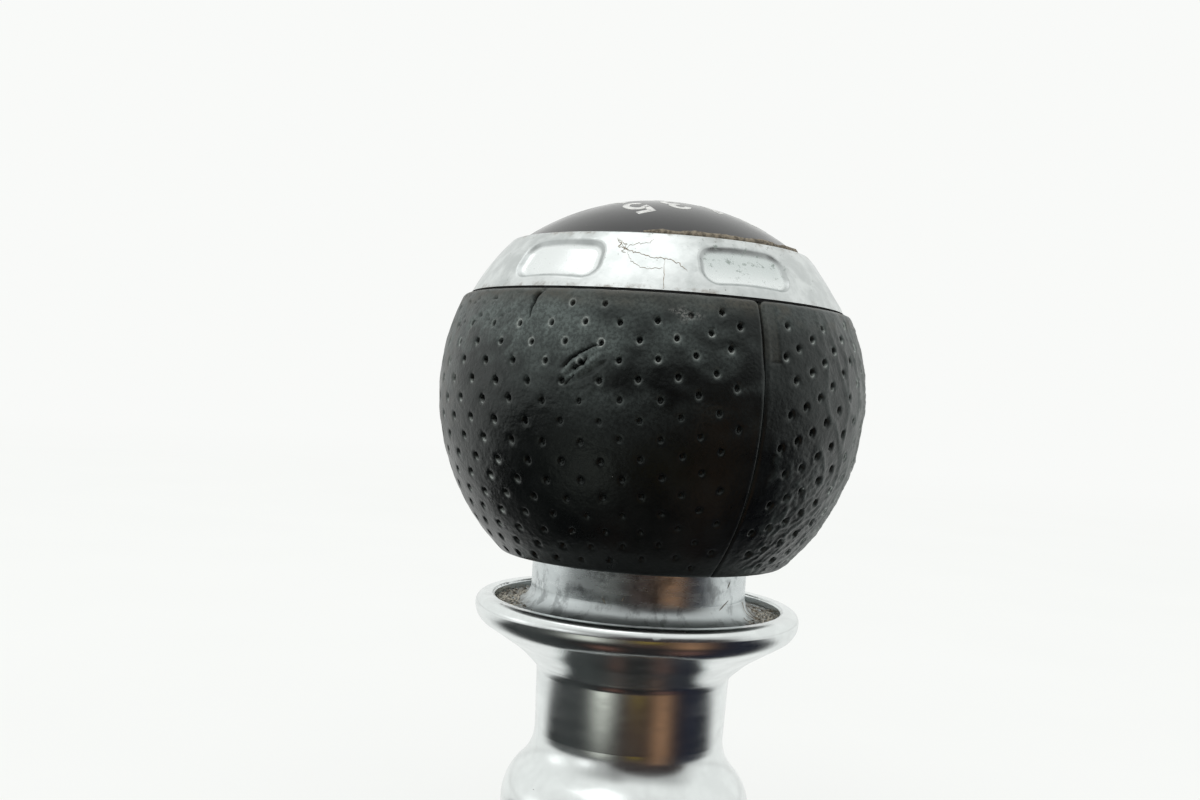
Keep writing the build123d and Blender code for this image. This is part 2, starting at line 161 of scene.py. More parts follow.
class Finish:
    """A procedural material around one Principled shader."""

    def __init__(self, name):
        self.material = bpy.data.materials.new(name)
        self.material.use_nodes = True
        self.tree = self.material.node_tree
        self.tree.nodes.clear()
        self.shader = self.tree.nodes.new("ShaderNodeBsdfPrincipled")
        output = self.tree.nodes.new("ShaderNodeOutputMaterial")
        self.tree.links.new(self.shader.outputs[0], output.inputs[0])
        self.place = self.node("TexCoord", "Object", {})

    def put(self, socket, value):
        """Links an output to a socket, or sets a number, a vector or a colour there."""
        if isinstance(value, bpy.types.NodeSocket):
            self.tree.links.new(value, socket)
        elif socket.type == "RGBA":
            socket.default_value = (*value, 1)
        else:
            socket.default_value = value

    def set(self, **inputs):
        """Puts values into the shader's inputs, named with _ for each space. Returns the material."""
        for key, value in inputs.items():
            self.put(self.shader.inputs[key.replace("_", " ")], value)
        return self.material

    def node(self, kind, output, inputs, **settings):
        """One output of a new node that has these inputs and settings."""
        made = self.tree.nodes.new("ShaderNode" + kind)
        for key, value in settings.items():
            setattr(made, key, value)
        for key, value in inputs.items():
            self.put(made.inputs[key], value)
        return made.outputs[output]

    def noise(self, size, detail, rough, vector=None):
        """Noise between 0 and 1 with features of about that size in millimetres."""
        vector = vector or self.place
        inputs = {"Vector": vector, "Scale": 1 / (size * MM), "Detail": detail, "Roughness": rough}
        return self.node("TexNoise", "Fac", inputs)

    def cells(self, size, feature="F1", vector=None, output="Distance"):
        """Cells of about that size in millimetres."""
        inputs = {"Vector": vector or self.place, "Scale": 1 / (size * MM)}
        return self.node("TexVoronoi", output, inputs, feature=feature)

    def math(self, operation, a, b=0.0):
        return self.node("Math", 0, {0: a, 1: b}, operation=operation)

    def times(self, first, *others):
        for other in others:
            first = self.math("MULTIPLY", first, other)
        return first

    def plus(self, first, *others):
        for other in others:
            first = self.math("ADD", first, other)
        return first

    def minus(self, a, b):
        return self.math("SUBTRACT", a, b)

    def larger(self, a, b):
        return self.math("MAXIMUM", a, b)

    def vector_math(self, operation, a, b=(0, 0, 0)):
        return self.node("VectorMath", "Value", {0: a, 1: b}, operation=operation)

    def span(self, value, low, high, to_low=0.0, to_high=1.0):
        """Maps a value from one range to another, smoothly and clamped."""
        inputs = {"Value": value, "From Min": low, "From Max": high, "To Min": to_low, "To Max": to_high}
        return self.node("MapRange", 0, inputs, interpolation_type="SMOOTHSTEP")

    def span_mm(self, length, low, high, *to):
        """The same for a length, from a range in millimetres."""
        return self.span(length, low * MM, high * MM, *to)

    def level(self, low, high, *to):
        """The same for the height above the knob's foot."""
        return self.span_mm(self.axis("Z"), low, high, *to)

    def mix(self, factor, a, b):
        return self.node("Mix", 2, {0: factor, 6: a, 7: b}, data_type="RGBA")

    def paint(self, colour, *coats):
        """A colour under coats, each given by how much it covers and by its own colour."""
        for cover, tint in coats:
            colour = self.mix(cover, colour, tint)
        return colour

    def value(self, name):
        return self.node("Attribute", "Fac", {}, attribute_name=name)

    def stretch(self, x, y, z):
        """The place, with each axis multiplied."""
        return self.node("Mapping", 0, {"Vector": self.place, "Scale": (x, y, z)})

    def axis(self, letter):
        return self.node("SeparateXYZ", letter, {0: self.place})

    def specks(self, size, share, radius):
        """1 in small round specks, which a share of the cells have. Their radius is relative to a cell."""
        chance = self.node("SeparateColor", 0, {0: self.cells(size, output="Color")})
        picked = self.math("GREATER_THAN", chance, 1 - share)
        return self.times(picked, self.span(self.cells(size), radius, radius / 2))

    def bump(self, height, depth, strength, under=None):
        """Bump whose height of 1 is that depth in millimetres."""
        inputs = {"Height": height, "Distance": depth * MM, "Strength": strength}
        if under:
            inputs["Normal"] = under
        return self.node("Bump", 0, inputs)


def leather_finish():
    """Black grained leather, under the wear, painted sheen, painted highlights and painted shade that its
    mesh carries.
    """
    black = (0.0016, 0.0019, 0.0020)
    faded_black = (0.0036, 0.0042, 0.0043)
    dust_and_sheen_grey = (0.096, 0.115, 0.110)
    stain_brown = (0.052, 0.046, 0.036)
    scuff_and_sheen_grey = (0.20, 0.195, 0.185)
    speck_grey = (0.22, 0.22, 0.21)
    pale_lip_and_highlight_grey = (0.42, 0.45, 0.43)
    cut_shade_black = (0.002, 0.002, 0.002)
    f = Finish("leather_worn")
    dust_and_sheen, stain, scuff_and_sheen, cut_shade, lip = (f.value(name) for name in WEAR_VALUES)
    cloud = f.noise(5.0, 4, 0.6)
    fine = f.noise(0.35, 4, 0.65)
    # this film paints dust and a sheen: lighter towards the top and the edges, where light falls
    film = f.times(dust_and_sheen, f.span(fine, 0.38, 0.62, 0.45, 1.0))
    colour = f.paint(
        f.mix(f.span(cloud, 0.35, 0.7), black, faded_black),
        (film, dust_and_sheen_grey),
        (f.times(stain, f.span(fine, 0.3, 0.6, 0.3, 1.0)), stain_brown),
        # the scuff layer holds real scuffs, and a painted grazing sheen along the right panel's edge
        (f.times(scuff_and_sheen, f.span(f.noise(0.28, 3, 0.7), 0.42, 0.62)), scuff_and_sheen_grey),
        (f.times(f.specks(1.5, 0.14, 0.035), 0.6), speck_grey),
        # the holes' lips: pale wear, and a painted highlight on their lower lips
        (f.times(lip, f.span(fine, 0.3, 0.6, 0.4, 1.0)), pale_lip_and_highlight_grey),
        # the slits, split, nicks and seam notch are painted black and rougher: painted shade in their
        # openings
        (cut_shade, cut_shade_black),
    )
    rough = f.plus(f.span(cloud, 0.3, 0.75, 0.26, 0.38), f.times(film, 0.2), f.times(cut_shade, 0.4))
    grain = f.cells(0.42, "SMOOTH_F1", vector=f.stretch(1, 1, 1.15))
    height = f.plus(f.times(grain, 0.6), f.times(fine, 0.8))
    dents = f.bump(f.noise(1.3, 2, 0.5), 0.12, 0.5)
    f.set(Base_Color=colour, Roughness=rough, Normal=f.bump(height, 0.05, 0.7, under=dents))
    return f.set(Specular_IOR_Level=0.38, Specular_Tint=(0.9, 1.0, 0.97))


def cap_finish():
    """Glossy black plastic with haze, fine scratches and dust specks."""
    black = (0.008, 0.008, 0.009)
    hazy_black = (0.014, 0.014, 0.0155)
    speck_grey = (0.25, 0.24, 0.22)
    f = Finish("cap_black_gloss")
    haze = f.noise(4.0, 3, 0.6)
    scratches = f.noise(0.25, 2, 0.5, vector=f.stretch(0.12, 1, 1))
    colour = f.paint(
        f.mix(f.span(haze, 0.4, 0.75), black, hazy_black),
        (f.times(f.specks(1.1, 0.25, 0.04), 0.6), speck_grey),
    )
    rough = f.plus(f.span(haze, 0.35, 0.75, 0.13, 0.22), f.span(scratches, 0.55, 0.75, 0.0, 0.06))
    scratched = f.bump(scratches, 0.002, 0.3)
    return f.set(Base_Color=colour, Roughness=rough, Normal=scratched, Specular_IOR_Level=0.5)


def pocket_masks(f):
    """Where the ring's pockets have their floors and their walls, which get painted shade, and where the
    front pocket is.
    """
    depth = f.minus(RING_R * MM, f.vector_math("DISTANCE", f.place, (0, 0, BALL_Z * MM)))
    floors = f.times(f.span_mm(depth, 0.3, 0.5), f.level(73.6, 73.3))
    shaded_walls = f.times(f.span_mm(depth, 0.03, 0.12), f.span_mm(depth, 0.5, 0.3))
    aside = f.math("ABSOLUTE", f.axis("X"))
    front = f.times(f.span_mm(f.axis("Y"), -14, -16.5), f.level(68.5, 71.5), f.span_mm(aside, 7, 4))
    return floors, shaded_walls, front


def ring_finish():
    """Satin chrome with pits, grimy rims and polished pockets, whose walls are painted darker as shade. The
    front pocket is duller.
    """
    dull_chrome = (0.54, 0.57, 0.565)
    chrome = (0.74, 0.77, 0.765)
    polished = (0.86, 0.895, 0.89)
    polished_front = (0.64, 0.69, 0.68)
    wall_shade_grey = (0.30, 0.32, 0.32)
    pit_brown = (0.16, 0.15, 0.13)
    bare_green = (0.13, 0.17, 0.145)
    grime_brown = (0.19, 0.16, 0.125)
    f = Finish("ring_satin_chrome")
    floors, shaded_walls, front = pocket_masks(f)
    cloud = f.noise(2.6, 4, 0.6)
    pits = f.larger(f.specks(0.55, 0.22, 0.16), f.times(f.specks(0.3, 0.12, 0.2), 0.6))
    worn = f.times(pits, f.span(f.noise(3.2, 3, 0.6), 0.42, 0.62))
    # the front pocket's plating has gone in places
    bare = f.times(front, f.span(f.noise(0.8, 4, 0.7), 0.55, 0.67))
    rims = f.larger(f.level(68.4, 67.9), f.level(73.2, 74.0))
    grime = f.times(rims, f.span(f.noise(1.6, 4, 0.65), 0.47, 0.72))
    colour = f.paint(
        f.mix(f.span(cloud, 0.35, 0.7), dull_chrome, chrome),
        (floors, f.mix(front, polished, polished_front)),
        # the pockets' walls are painted grey: painted shade in the recess
        (f.times(shaded_walls, 0.45), wall_shade_grey),
        (f.times(worn, 0.75), pit_brown),
        (f.times(bare, 0.7), bare_green),
        (f.times(grime, 0.75), grime_brown),
    )
    rough = f.plus(f.span(cloud, 0.3, 0.75, 0.28, 0.4), f.times(worn, 0.3), f.times(floors, -0.08))
    metal = f.minus(1.0, f.times(f.larger(bare, grime), 0.7))
    texture = f.minus(f.noise(0.16, 3, 0.6), worn)
    return f.set(Base_Color=colour, Roughness=rough, Metallic=metal, Normal=f.bump(texture, 0.012, 0.6))


def start_aluminium(name, tint, rough_low, rough_high):
    """Aluminium with clouds and dark specks: its finish, and the colour and roughness so far."""
    dull = tuple(0.93 * part for part in tint)
    speck_grey = (0.12, 0.115, 0.11)
    f = Finish(name)
    specks = f.times(f.specks(1.6, 0.3, 0.05), 0.8)
    colour = f.paint(f.mix(f.span(f.noise(3.0, 4, 0.6), 0.35, 0.7), dull, tint), (specks, speck_grey))
    streaks = f.noise(1.4, 4, 0.6, vector=f.stretch(0.3, 0.3, 1.6))
    rough = f.plus(f.span(streaks, 0.3, 0.75, rough_low, rough_high), f.times(specks, 0.3))
    return f, colour, rough


def finish_turned(f, colour, rough, metal, line_depth):
    """Sets the shader of a turned piece, with fine lines around its axis."""
    lines = f.noise(0.5, 3, 0.7, vector=f.stretch(0.02, 0.02, 4.0))
    f.set(Base_Color=colour, Roughness=rough, Metallic=metal, Normal=f.bump(lines, line_depth, 0.4))
    return f.set(Anisotropic=0.45, Tangent=f.node("Tangent", 0, {}, direction_type="RADIAL", axis="Z"))


def collar_finish():
    f, colour, rough = start_aluminium("collar_polished", (0.81, 0.845, 0.84), 0.2, 0.27)
    return finish_turned(f, colour, rough, 1.0, 0.002)


def sleeve_finish():
    """Satin aluminium, rubbed in patches, with dirt on two sides of its dish and along the lip."""
    rubbed_grey = (0.26, 0.28, 0.285)
    dirt_sand = (0.36, 0.33, 0.28)
    f, colour, rough = start_aluminium("sleeve_satin", (0.64, 0.685, 0.69), 0.22, 0.32)
    rubbed = f.span(f.noise(2.2, 5, 0.68, vector=f.stretch(1, 1, 0.7)), 0.50, 0.64)
    aside = f.math("ABSOLUTE", f.vector_math("DOT_PRODUCT", f.place, from_camera_frame((1, 0, 0))))
    from_axis = f.vector_math("LENGTH", f.stretch(1, 1, 0))
    dirty = f.larger(f.span_mm(aside, 11.8, 14.2), f.span_mm(from_axis, 15.6, 16.6, 0.0, 0.6))
    film = f.times(f.level(33.6, 31.9), f.span(f.noise(0.8, 5, 0.7), 0.36, 0.6), dirty)
    colour = f.paint(colour, (f.times(rubbed, 0.7), rubbed_grey), (f.times(film, 0.7), dirt_sand))
    rough = f.plus(rough, f.level(34.5, 32.5, 0.0, 0.22), f.times(film, 0.35))
    return finish_turned(f, colour, rough, f.minus(1.0, f.times(film, 0.8)), 0.004)


def plain_finish(name, dark, light, rough, metallic=0.0):
    """A moulded or turned inner piece: two tones in clouds, with a fine grain."""
    f = Finish(name)
    cloud = f.noise(3.5, 4, 0.6)
    return f.set(
        Base_Color=f.mix(f.span(cloud, 0.35, 0.7), dark, light),
        Roughness=f.span(cloud, 0.3, 0.75, rough, rough + 0.12),
        Metallic=metallic,
        Normal=f.bump(f.noise(0.2, 3, 0.6), 0.01, 0.5),
    )


def dirt_finish(name, dark, light, size):
    """Matt dirt in two tones, with features of that size."""
    f = Finish(name)
    colour = f.mix(f.span(f.noise(size, 3, 0.7), 0.38, 0.62), dark, light)
    return f.set(Base_Color=colour, Roughness=0.9, Normal=f.bump(f.noise(size * 0.3, 3, 0.6), 0.03, 0.6))


def grit_finish():
    """Dust grains from dark grey to pale sand, each with a tone of its own."""
    dark_grit = (0.16, 0.145, 0.115)
    pale_grit = (0.86, 0.81, 0.71)
    f = Finish("grit")
    mottle = f.noise(0.12, 3, 0.6)
    tone = f.plus(f.times(f.value("tone"), 0.8), f.times(mottle, 0.3))
    colour = f.mix(f.span(tone, 0.2, 0.75), dark_grit, pale_grit)
    return f.set(Base_Color=colour, Roughness=0.9, Normal=f.bump(mottle, 0.03, 0.6))


def print_finish():
    """White print, worn grey in places."""
    worn_grey = (0.55, 0.55, 0.54)
    white = (0.82, 0.82, 0.80)
    f = Finish("pattern_print")
    wear = f.noise(0.6, 4, 0.7)
    colour = f.mix(f.span(wear, 0.3, 0.62), worn_grey, white)
    return f.set(Base_Color=colour, Roughness=f.span(wear, 0.3, 0.7, 0.3, 0.5))


leather_material = leather_finish()
finishes = {
    "pattern_cap": cap_finish(),
    "trim_ring": ring_finish(),
    "lift_collar": collar_finish(),
    "lift_sleeve": sleeve_finish(),
    "knob_core": plain_finish("core_plastic", (0.03, 0.03, 0.031), (0.055, 0.055, 0.056), 0.5),
    "guide_tube": plain_finish("tube_plastic", (0.04, 0.04, 0.042), (0.075, 0.075, 0.078), 0.45),
    "lever_bush": plain_finish("bush_steel", (0.42, 0.42, 0.43), (0.56, 0.56, 0.57), 0.32, 1.0),
    "lever_clip": plain_finish("clip_steel", (0.24, 0.24, 0.25), (0.36, 0.36, 0.37), 0.35, 1.0),
    "end_circlip": plain_finish("circlip_steel", (0.2, 0.2, 0.21), (0.34, 0.34, 0.35), 0.38, 1.0),
    "return_spring": plain_finish("spring_steel", (0.3, 0.3, 0.31), (0.45, 0.45, 0.46), 0.3, 1.0),
    "upper_bush": plain_finish("upper_bush_plastic", (0.62, 0.61, 0.56), (0.74, 0.73, 0.68), 0.42),
    "lower_bush": plain_finish("lower_bush_plastic", (0.6, 0.59, 0.55), (0.72, 0.71, 0.67), 0.42),
    "leather_left": leather_material,
    "leather_right": leather_material,
}
for name, material in finishes.items():
    nodes[name].data.materials.clear()
    nodes[name].data.materials.append(material)
print_material = print_finish()
grit_material = grit_finish()
grime_material = dirt_finish("grime", (0.09, 0.075, 0.055), (0.26, 0.22, 0.165), 0.5)
crack_material = dirt_finish("crack_dirt", (0.20, 0.15, 0.105), (0.42, 0.34, 0.25), 0.4)


# Leather panels

def arc(centre_r, centre_z, radius, start, end, step=0.02):
    """Rows of place and outward normal along an arc of the leather's outline, in degrees."""
    count = max(3, int(abs(radians(end - start)) * radius / step))
    angle = np.radians(np.linspace(start, end, count))
    normal = np.stack([np.cos(angle), np.sin(angle)], 1)
    return np.hstack([np.array([centre_r, centre_z]) + radius * normal, normal])


def flat_edge(start_r, end_r, z, normal_z, count=30):
    """The same along a flat edge."""
    share = np.linspace(0, 1, count)[:, None]
    places = (1 - share) * [start_r, z] + share * [end_r, z]
    return np.hstack([places, np.tile([0.0, normal_z], (count, 1))])


def leather_outline():
    """The leather's outside from its top edge to its mouth: lengths, rows, and where its pieces end."""
    top_z = LEATHER_TOP_Z - LEATHER_TOP_ROUND
    top_r = sqrt((BALL_R - LEATHER_TOP_ROUND) ** 2 - (top_z - BALL_Z) ** 2)
    top_angle = np.degrees(atan2(top_z - BALL_Z, top_r))
    low_z = LEATHER_LOW_Z + LEATHER_LOW_ROUND
    low_r = BELLY_X + sqrt((BELLY_R - LEATHER_LOW_ROUND) ** 2 - (low_z - BALL_Z) ** 2)
    low_angle = np.degrees(atan2(low_z - BALL_Z, low_r - BELLY_X))
    inner_r = sqrt((BALL_R - LEATHER) ** 2 - (LEATHER_TOP_Z - BALL_Z) ** 2)
    pieces = [
        flat_edge(inner_r, top_r, LEATHER_TOP_Z, 1.0),
        arc(top_r, top_z, LEATHER_TOP_ROUND, 90, top_angle),
        arc(0, BALL_Z, BALL_R, top_angle, 0),
        arc(BELLY_X, BALL_Z, BELLY_R, 0, low_angle),
        arc(low_r, low_z, LEATHER_LOW_ROUND, low_angle, -90),
        flat_edge(low_r, MOUTH_R, LEATHER_LOW_Z, -1.0),
    ]
    rows = np.concatenate(pieces)
    lengths = np.concatenate([[0], np.cumsum(np.hypot(*np.diff(rows[:, :2], axis=0).T))])
    ends = np.cumsum([len(piece) for piece in pieces]) - 1
    return lengths, rows, lengths[ends]


OUTLINE_S, OUTLINE_ROWS, OUTLINE_MARKS = leather_outline()
TOP_FLAT_S, TOP_ROUND_S, MIDDLE_S, BELLY_S, LOW_ROUND_S, LENGTH_S = OUTLINE_MARKS
# a panel is laid out flat, as its angle from the front seam times this radius, and its outline's length
FLAT_R = 22.0
WIDTH = pi * FLAT_R


def outline_at(s):
    """Radius, height and the normal's two parts at lengths along the outline."""
    return [np.interp(s, OUTLINE_S, column) for column in OUTLINE_ROWS.T]


HOLE_RINGS = ((0.15, 8), (0.24, 10), (0.31, 12), (0.38, 14), (0.47, 14), (0.66, 12))
HOLE_NARROW = 1.25      # how much higher a hole is than wide
HOLE_SCALE = 1.15       # millimetres for 1 of the radii above
HOLE_WINDOW = 1.5       # how far from a hole its pit is looked for
HOLE_JITTER = 0.07
HOLE_FROM_SEAM = 1.9
HOLE_FROM_TOP = 0.85
HOLE_FROM_LOW = 0.5


class Lattice(NamedTuple):
    """A staggered lattice of perforations, whose rows rise towards the seams."""
    offset: float       # of its columns, in steps
    turn: float         # degrees for a step along a row
    turn_bend: float    # the same, for the step's cube
    lean: float         # how the turn changes with each row
    lean_bend: float
    start: float        # height of row 0
    drop: float         # height for a row
    sag: float          # rise with the step's square
    sag_bend: float     # rise with its fourth power
    row_sag: float      # how the rise changes with each row

    def holes(self):
        """Flat places of the holes."""
        found = []
        for row in range(-6, 14):
            for step in range(-14, 15):
                c = step + self.offset + row / 2
                lean = (self.lean * c + self.lean_bend * c**3) * row
                angle = 90 - (self.turn * c + self.turn_bend * c**3 + lean)
                rise = self.sag * c**2 + self.sag_bend * c**4 + self.row_sag * c**2 * row
                height = self.start + self.drop * row + rise
                found.append((radians(angle) * FLAT_R, MIDDLE_S - height))
        places = np.array(found) + rng.normal(0, HOLE_JITTER, (len(found), 2))
        x, s = places.T
        inside = (x > HOLE_FROM_SEAM) & (x < WIDTH - HOLE_FROM_SEAM)
        inside &= (s > TOP_ROUND_S + HOLE_FROM_TOP) & (s < BELLY_S - HOLE_FROM_LOW)
        return places[inside]


LEFT_LATTICE = Lattice(0.75, 9.777, -0.00708, 0.0069, 0.00121, 2.48, -2.071, 0.0128, 0.00026, 0.00113)
RIGHT_LATTICE = Lattice(0.25, 10.27, -0.0104, 0.2, -0.0015, 1.02, -2.22, 0.0546, 0.00023, 0.0071)


def panel_edges():
    """Flat columns of the rounded seam, places down a column, and places across between the two seams."""
    edge_x = SEAM_HALF + SEAM_ROUND * (1 - np.cos(np.radians([0, 15, 35, 55, 75, 90])))
    marks = [0, *OUTLINE_MARKS]
    gaps = (0.3, 0.2, 0.45, 0.45, 0.2, 0.5)
    edge_s = []
    for start, end, gap in zip(marks, marks[1:], gaps):
        edge_s.append(np.linspace(start, end, max(3, int((end - start) / gap) + 1))[:-1])
    edge_s = np.concatenate([*edge_s, [LENGTH_S]])
    across_x = np.linspace(edge_x[-1], WIDTH - edge_x[-1], int(WIDTH / 0.45))[1:-1]
    return edge_x, edge_s, across_x


EDGE_X, EDGE_S, ACROSS_X = panel_edges()


def edge_points():
    """Flat points along both seams and along the rounded top and bottom edges."""
    columns = [np.stack([np.full_like(EDGE_S, x), EDGE_S], 1) for e in EDGE_X for x in (e, WIDTH - e)]
    rounded = (EDGE_S <= TOP_ROUND_S + 0.01) | (EDGE_S >= BELLY_S - 0.01)
    rows = [np.stack([ACROSS_X, np.full_like(ACROSS_X, s)], 1) for s in EDGE_S[rounded]]
    return np.concatenate(columns + rows)


def hole_points(holes):
    """Flat points in rings around each hole."""
    rings = [[(0, 0)]]
    for radius, count in HOLE_RINGS:
        turn = np.arange(count) * 2 * pi / count
        rings.append(np.stack([radius * np.cos(turn), radius * np.sin(turn)], 1))
    pattern = np.concatenate(rings)
    hole_r = outline_at(holes[:, 1])[0]
    return [hole + HOLE_SCALE * pattern * [FLAT_R / (r * HOLE_NARROW), 1] for hole, r in zip(holes, hole_r)]


def near_any(points, others, reach):
    """Which points lie within reach of any of the others."""
    tree = KDTree(len(others))
    for index, other in enumerate(others):
        tree.insert((other[0], other[1], 0), index)
    tree.balance()
    return np.array([tree.find((x, y, 0))[2] < reach for x, y in points], bool)


def grid(low_x, high_x, low_s, high_s, step, jitter):
    """Points in staggered rows."""
    places = []
    for index, s in enumerate(np.arange(low_s, high_s, step * 0.87)):
        x = np.arange(low_x + (index % 2) * step / 2, high_x, step)
        places.append(np.stack([x, np.full_like(x, s)], 1))
    places = np.concatenate(places)
    return places + rng.uniform(-jitter, jitter, places.shape)


def flat_points(holes, finer):
    """Points of a panel's outside, laid flat: edges, hole rings, finer patches and a base grid."""
    points = np.concatenate([edge_points(), *hole_points(holes)])
    for low_x, high_x, low_s, high_s, step in finer:
        patch = grid(low_x, high_x, low_s, high_s, step, step * 0.12)
        points = np.concatenate([points, patch[~near_any(patch, points, step * 0.6)]])
    margin = 0.3
    low_x = EDGE_X[-1] + margin
    base = grid(low_x, WIDTH - EDGE_X[-1] - margin, TOP_ROUND_S + margin, BELLY_S - margin, 0.42, 0.07)
    base = base[~near_any(base, holes, 0.82 * HOLE_SCALE)]
    base = base[~near_any(base, points, 0.2)]
    return np.concatenate([points, base])


def hole_field(x, s, holes):
    """For flat points: the nearest hole, how near it is, and how straight below it the point lies."""
    nearest = np.full(len(x), 9.0)
    below = np.zeros(len(x))
    owner = np.zeros(len(x), int)
    r = outline_at(s)[0]
    for k, (hole_x, hole_s) in enumerate(holes):
        close = (np.abs(x - hole_x) < HOLE_WINDOW) & (np.abs(s - hole_s) < HOLE_WINDOW)
        down = (s[close] - hole_s) / HOLE_SCALE
        d = np.hypot((x[close] - hole_x) * HOLE_NARROW * r[close] / (FLAT_R * HOLE_SCALE), down)
        nearer = d < nearest[close]
        below[close] = np.where(nearer, down / np.maximum(d, 0.01), below[close])
        owner[close] = np.where(nearer, k, owner[close])
        nearest[close] = np.minimum(nearest[close], d)
    return owner, nearest, below


def pit_height(nearest):
    """Height of the leather around a hole: a pit in a soft funnel, with a raised rim."""
    funnel = 0.16 * smooth(nearest, 0.6, 0.2)
    pit = 0.45 * smooth(nearest, 0.34, 0.2)
    rim = 0.035 * bell(nearest, 0.72, 0.2)
    return rim - funnel - pit


def seam_height(x, s, height):
    """The panel's rounding along its seams. The front one is pressed shut low down, and open at the top."""
    d = np.minimum(x, WIDTH - x) - SEAM_HALF
    inside = np.clip(SEAM_ROUND - d, 0, SEAM_ROUND)
    shut = np.where(x < WIDTH / 2, 0.3 + 0.7 * smooth(height, 2.5, 5.0), 1.0)
    corner = 0.5 * smooth(d / 0.8 + (s - TOP_FLAT_S) / 1.5, 1.0, 0.0)
    return shut * (np.sqrt(SEAM_ROUND**2 - inside**2) - SEAM_ROUND) - corner


class Slit(NamedTuple):
    """A slit along a line through the leather, narrowing towards its ends."""
    line: tuple         # the line's place across, as a polynomial of the length along it
    start: float
    end: float
    half: float         # half its width
    depth: float
    ragged: float       # how much its line wobbles

    def height(self, along, across, wobble):
        share = np.clip((along - self.start) / (self.end - self.start), 0, 1)
        taper = np.sqrt(np.maximum(0, 4 * share * (1 - share)))
        width = np.maximum(self.half * taper, 1e-3)
        profile = bell(across + self.ragged * wobble, np.polyval(self.line, along), width)
        inside = (along > self.start) & (along < self.end)
        return np.where(inside, -self.depth * np.minimum(1, taper * 1.5) * profile, 0)


# Wear is given by angles from the front seam, in degrees, and by heights up the ball from its widest level.
TEAR_ANGLE = 44.6
TEAR_HEIGHT = 2.5
TEAR_R = 24.8
TEAR_LEAN = radians(41)
TEAR_SLITS = (
    Slit((-0.09, 0, 1.15), -1.9, 3.1, 0.12, 0.85, 1),
    Slit((-0.05, 0.1), -0.9, 1.1, 0.18, 0.75, 2),
    Slit((0.1, -0.35), -2.6, -0.9, 0.1, 0.5, 1),
)
TEAR_FOLD = Slit((-0.14, -1.12), -2.1, 2.5, 0.3, 0.2, 1)
SPLIT_ANGLE = 60.6
SPLIT_R = 22.9
SCUFF_ANGLE = 19.4
SCUFF_HEIGHT = 8.4
SCUFF_R = 23.6
CREASE_LEAN = radians(52)


def tear(angle, height):
    """The left panel's tear, with creases around it: height, dust, and the painted shade in its slits."""
    right = -(angle - TEAR_ANGLE) * DEGREE * TEAR_R
    up = height - TEAR_HEIGHT
    along = right * cos(TEAR_LEAN) + up * sin(TEAR_LEAN)
    across = -right * sin(TEAR_LEAN) + up * cos(TEAR_LEAN)
    wobble = 0.16 * perlin(along, across, 0.8, 1.2, 3.1) + 0.06 * perlin(along, across, 0.25, 0.6, 4.1)
    slits = sum(slit.height(along, across, wobble) for slit in TEAR_SLITS)
    fold = TEAR_FOLD.height(along, across, wobble)
    lens = smooth(np.abs(along - 0.2), 2.6, 1.4)
    flaps = 0.2 * bell(across, 0.5, 0.3) + 0.16 * bell(across, -0.55, 0.28)
    creases = 0.06 * (ridges(along, across, 3.0, 0.8, 9.2, 6) - 0.3)
    creases = creases * smooth(np.hypot(right - 1.5, up + 2.0), 5.5, 2.5)
    pale_edges = bell(across, 0.85 - 0.10 * along**2, 0.16) + bell(across, -0.3, 0.14)
    dust_and_sheen = lens * (0.25 * smooth(np.abs(across), 1.3, 0.7) + 0.9 * pale_edges)
    return slits + fold + lens * flaps + creases, dust_and_sheen, np.clip(-slits / 0.45, 0, 1)


def top_split(angle, height):
    """The split at the left panel's top edge: height, and the painted shade in its opening."""
    aside = -(angle - SPLIT_ANGLE) * DEGREE * SPLIT_R - 0.6 * smooth(height, 9.2, 10.6)
    opening = 0.06 + 0.15 * smooth(height, 7.2, 10.4)
    split = smooth(height, 6.9, 7.9) * bell(aside, -0.05 * np.sin(height * 4), opening)
    sunk = 0.06 * bell(aside, 0.4, 0.25) * smooth(height, 7, 9)
    return -0.8 * split - sunk, smooth(split, 0.25, 0.7)


def left_dirt_and_sheen(x, s, angle, height):
    """Dust, stains and a painted sheen on the left panel."""
    cloud = perlin(x, s, 6.0, 4.0, 1.3) + 0.9 * perlin(x, s, 2.4, 1.5, 8.3)
    # painted sheen: lighter towards the top and the upper left, where light falls on the leather
    sheen = smooth(height, -8 + 6 * smooth(angle, 40, 60), 8.5) * (0.07 + 0.5 * smooth(angle, 8, 46))
    sheen = sheen + 0.2 * smooth(height, 6.5, 9.5) * smooth(angle, 36, 16)
    side = smooth(angle, 76, 100) * smooth(angle, 165, 125) * smooth(height, -16, 0)
    streaks = smooth(perlin(x - 0.5 * s, s, 0.5, 2.2, 5.2), 0.1, 0.45)
    streaks = streaks * smooth(angle, 35, 62) * smooth(height, 0, 6)
    dust_and_sheen = sheen + 0.38 * side + 0.6 * streaks + 0.44 * cloud * smooth(height, -4, 4)
    stain = smooth(height, 8.2, 10.2) * (0.4 + 0.5 * smooth(perlin(x, s, 2.5, 0.8, 4.4), -0.2, 0.4))
    stain += 0.8 * side * smooth(perlin(x, s, 1.8, 1.2, 2.9), -0.2, 0.4)
    return dust_and_sheen, stain


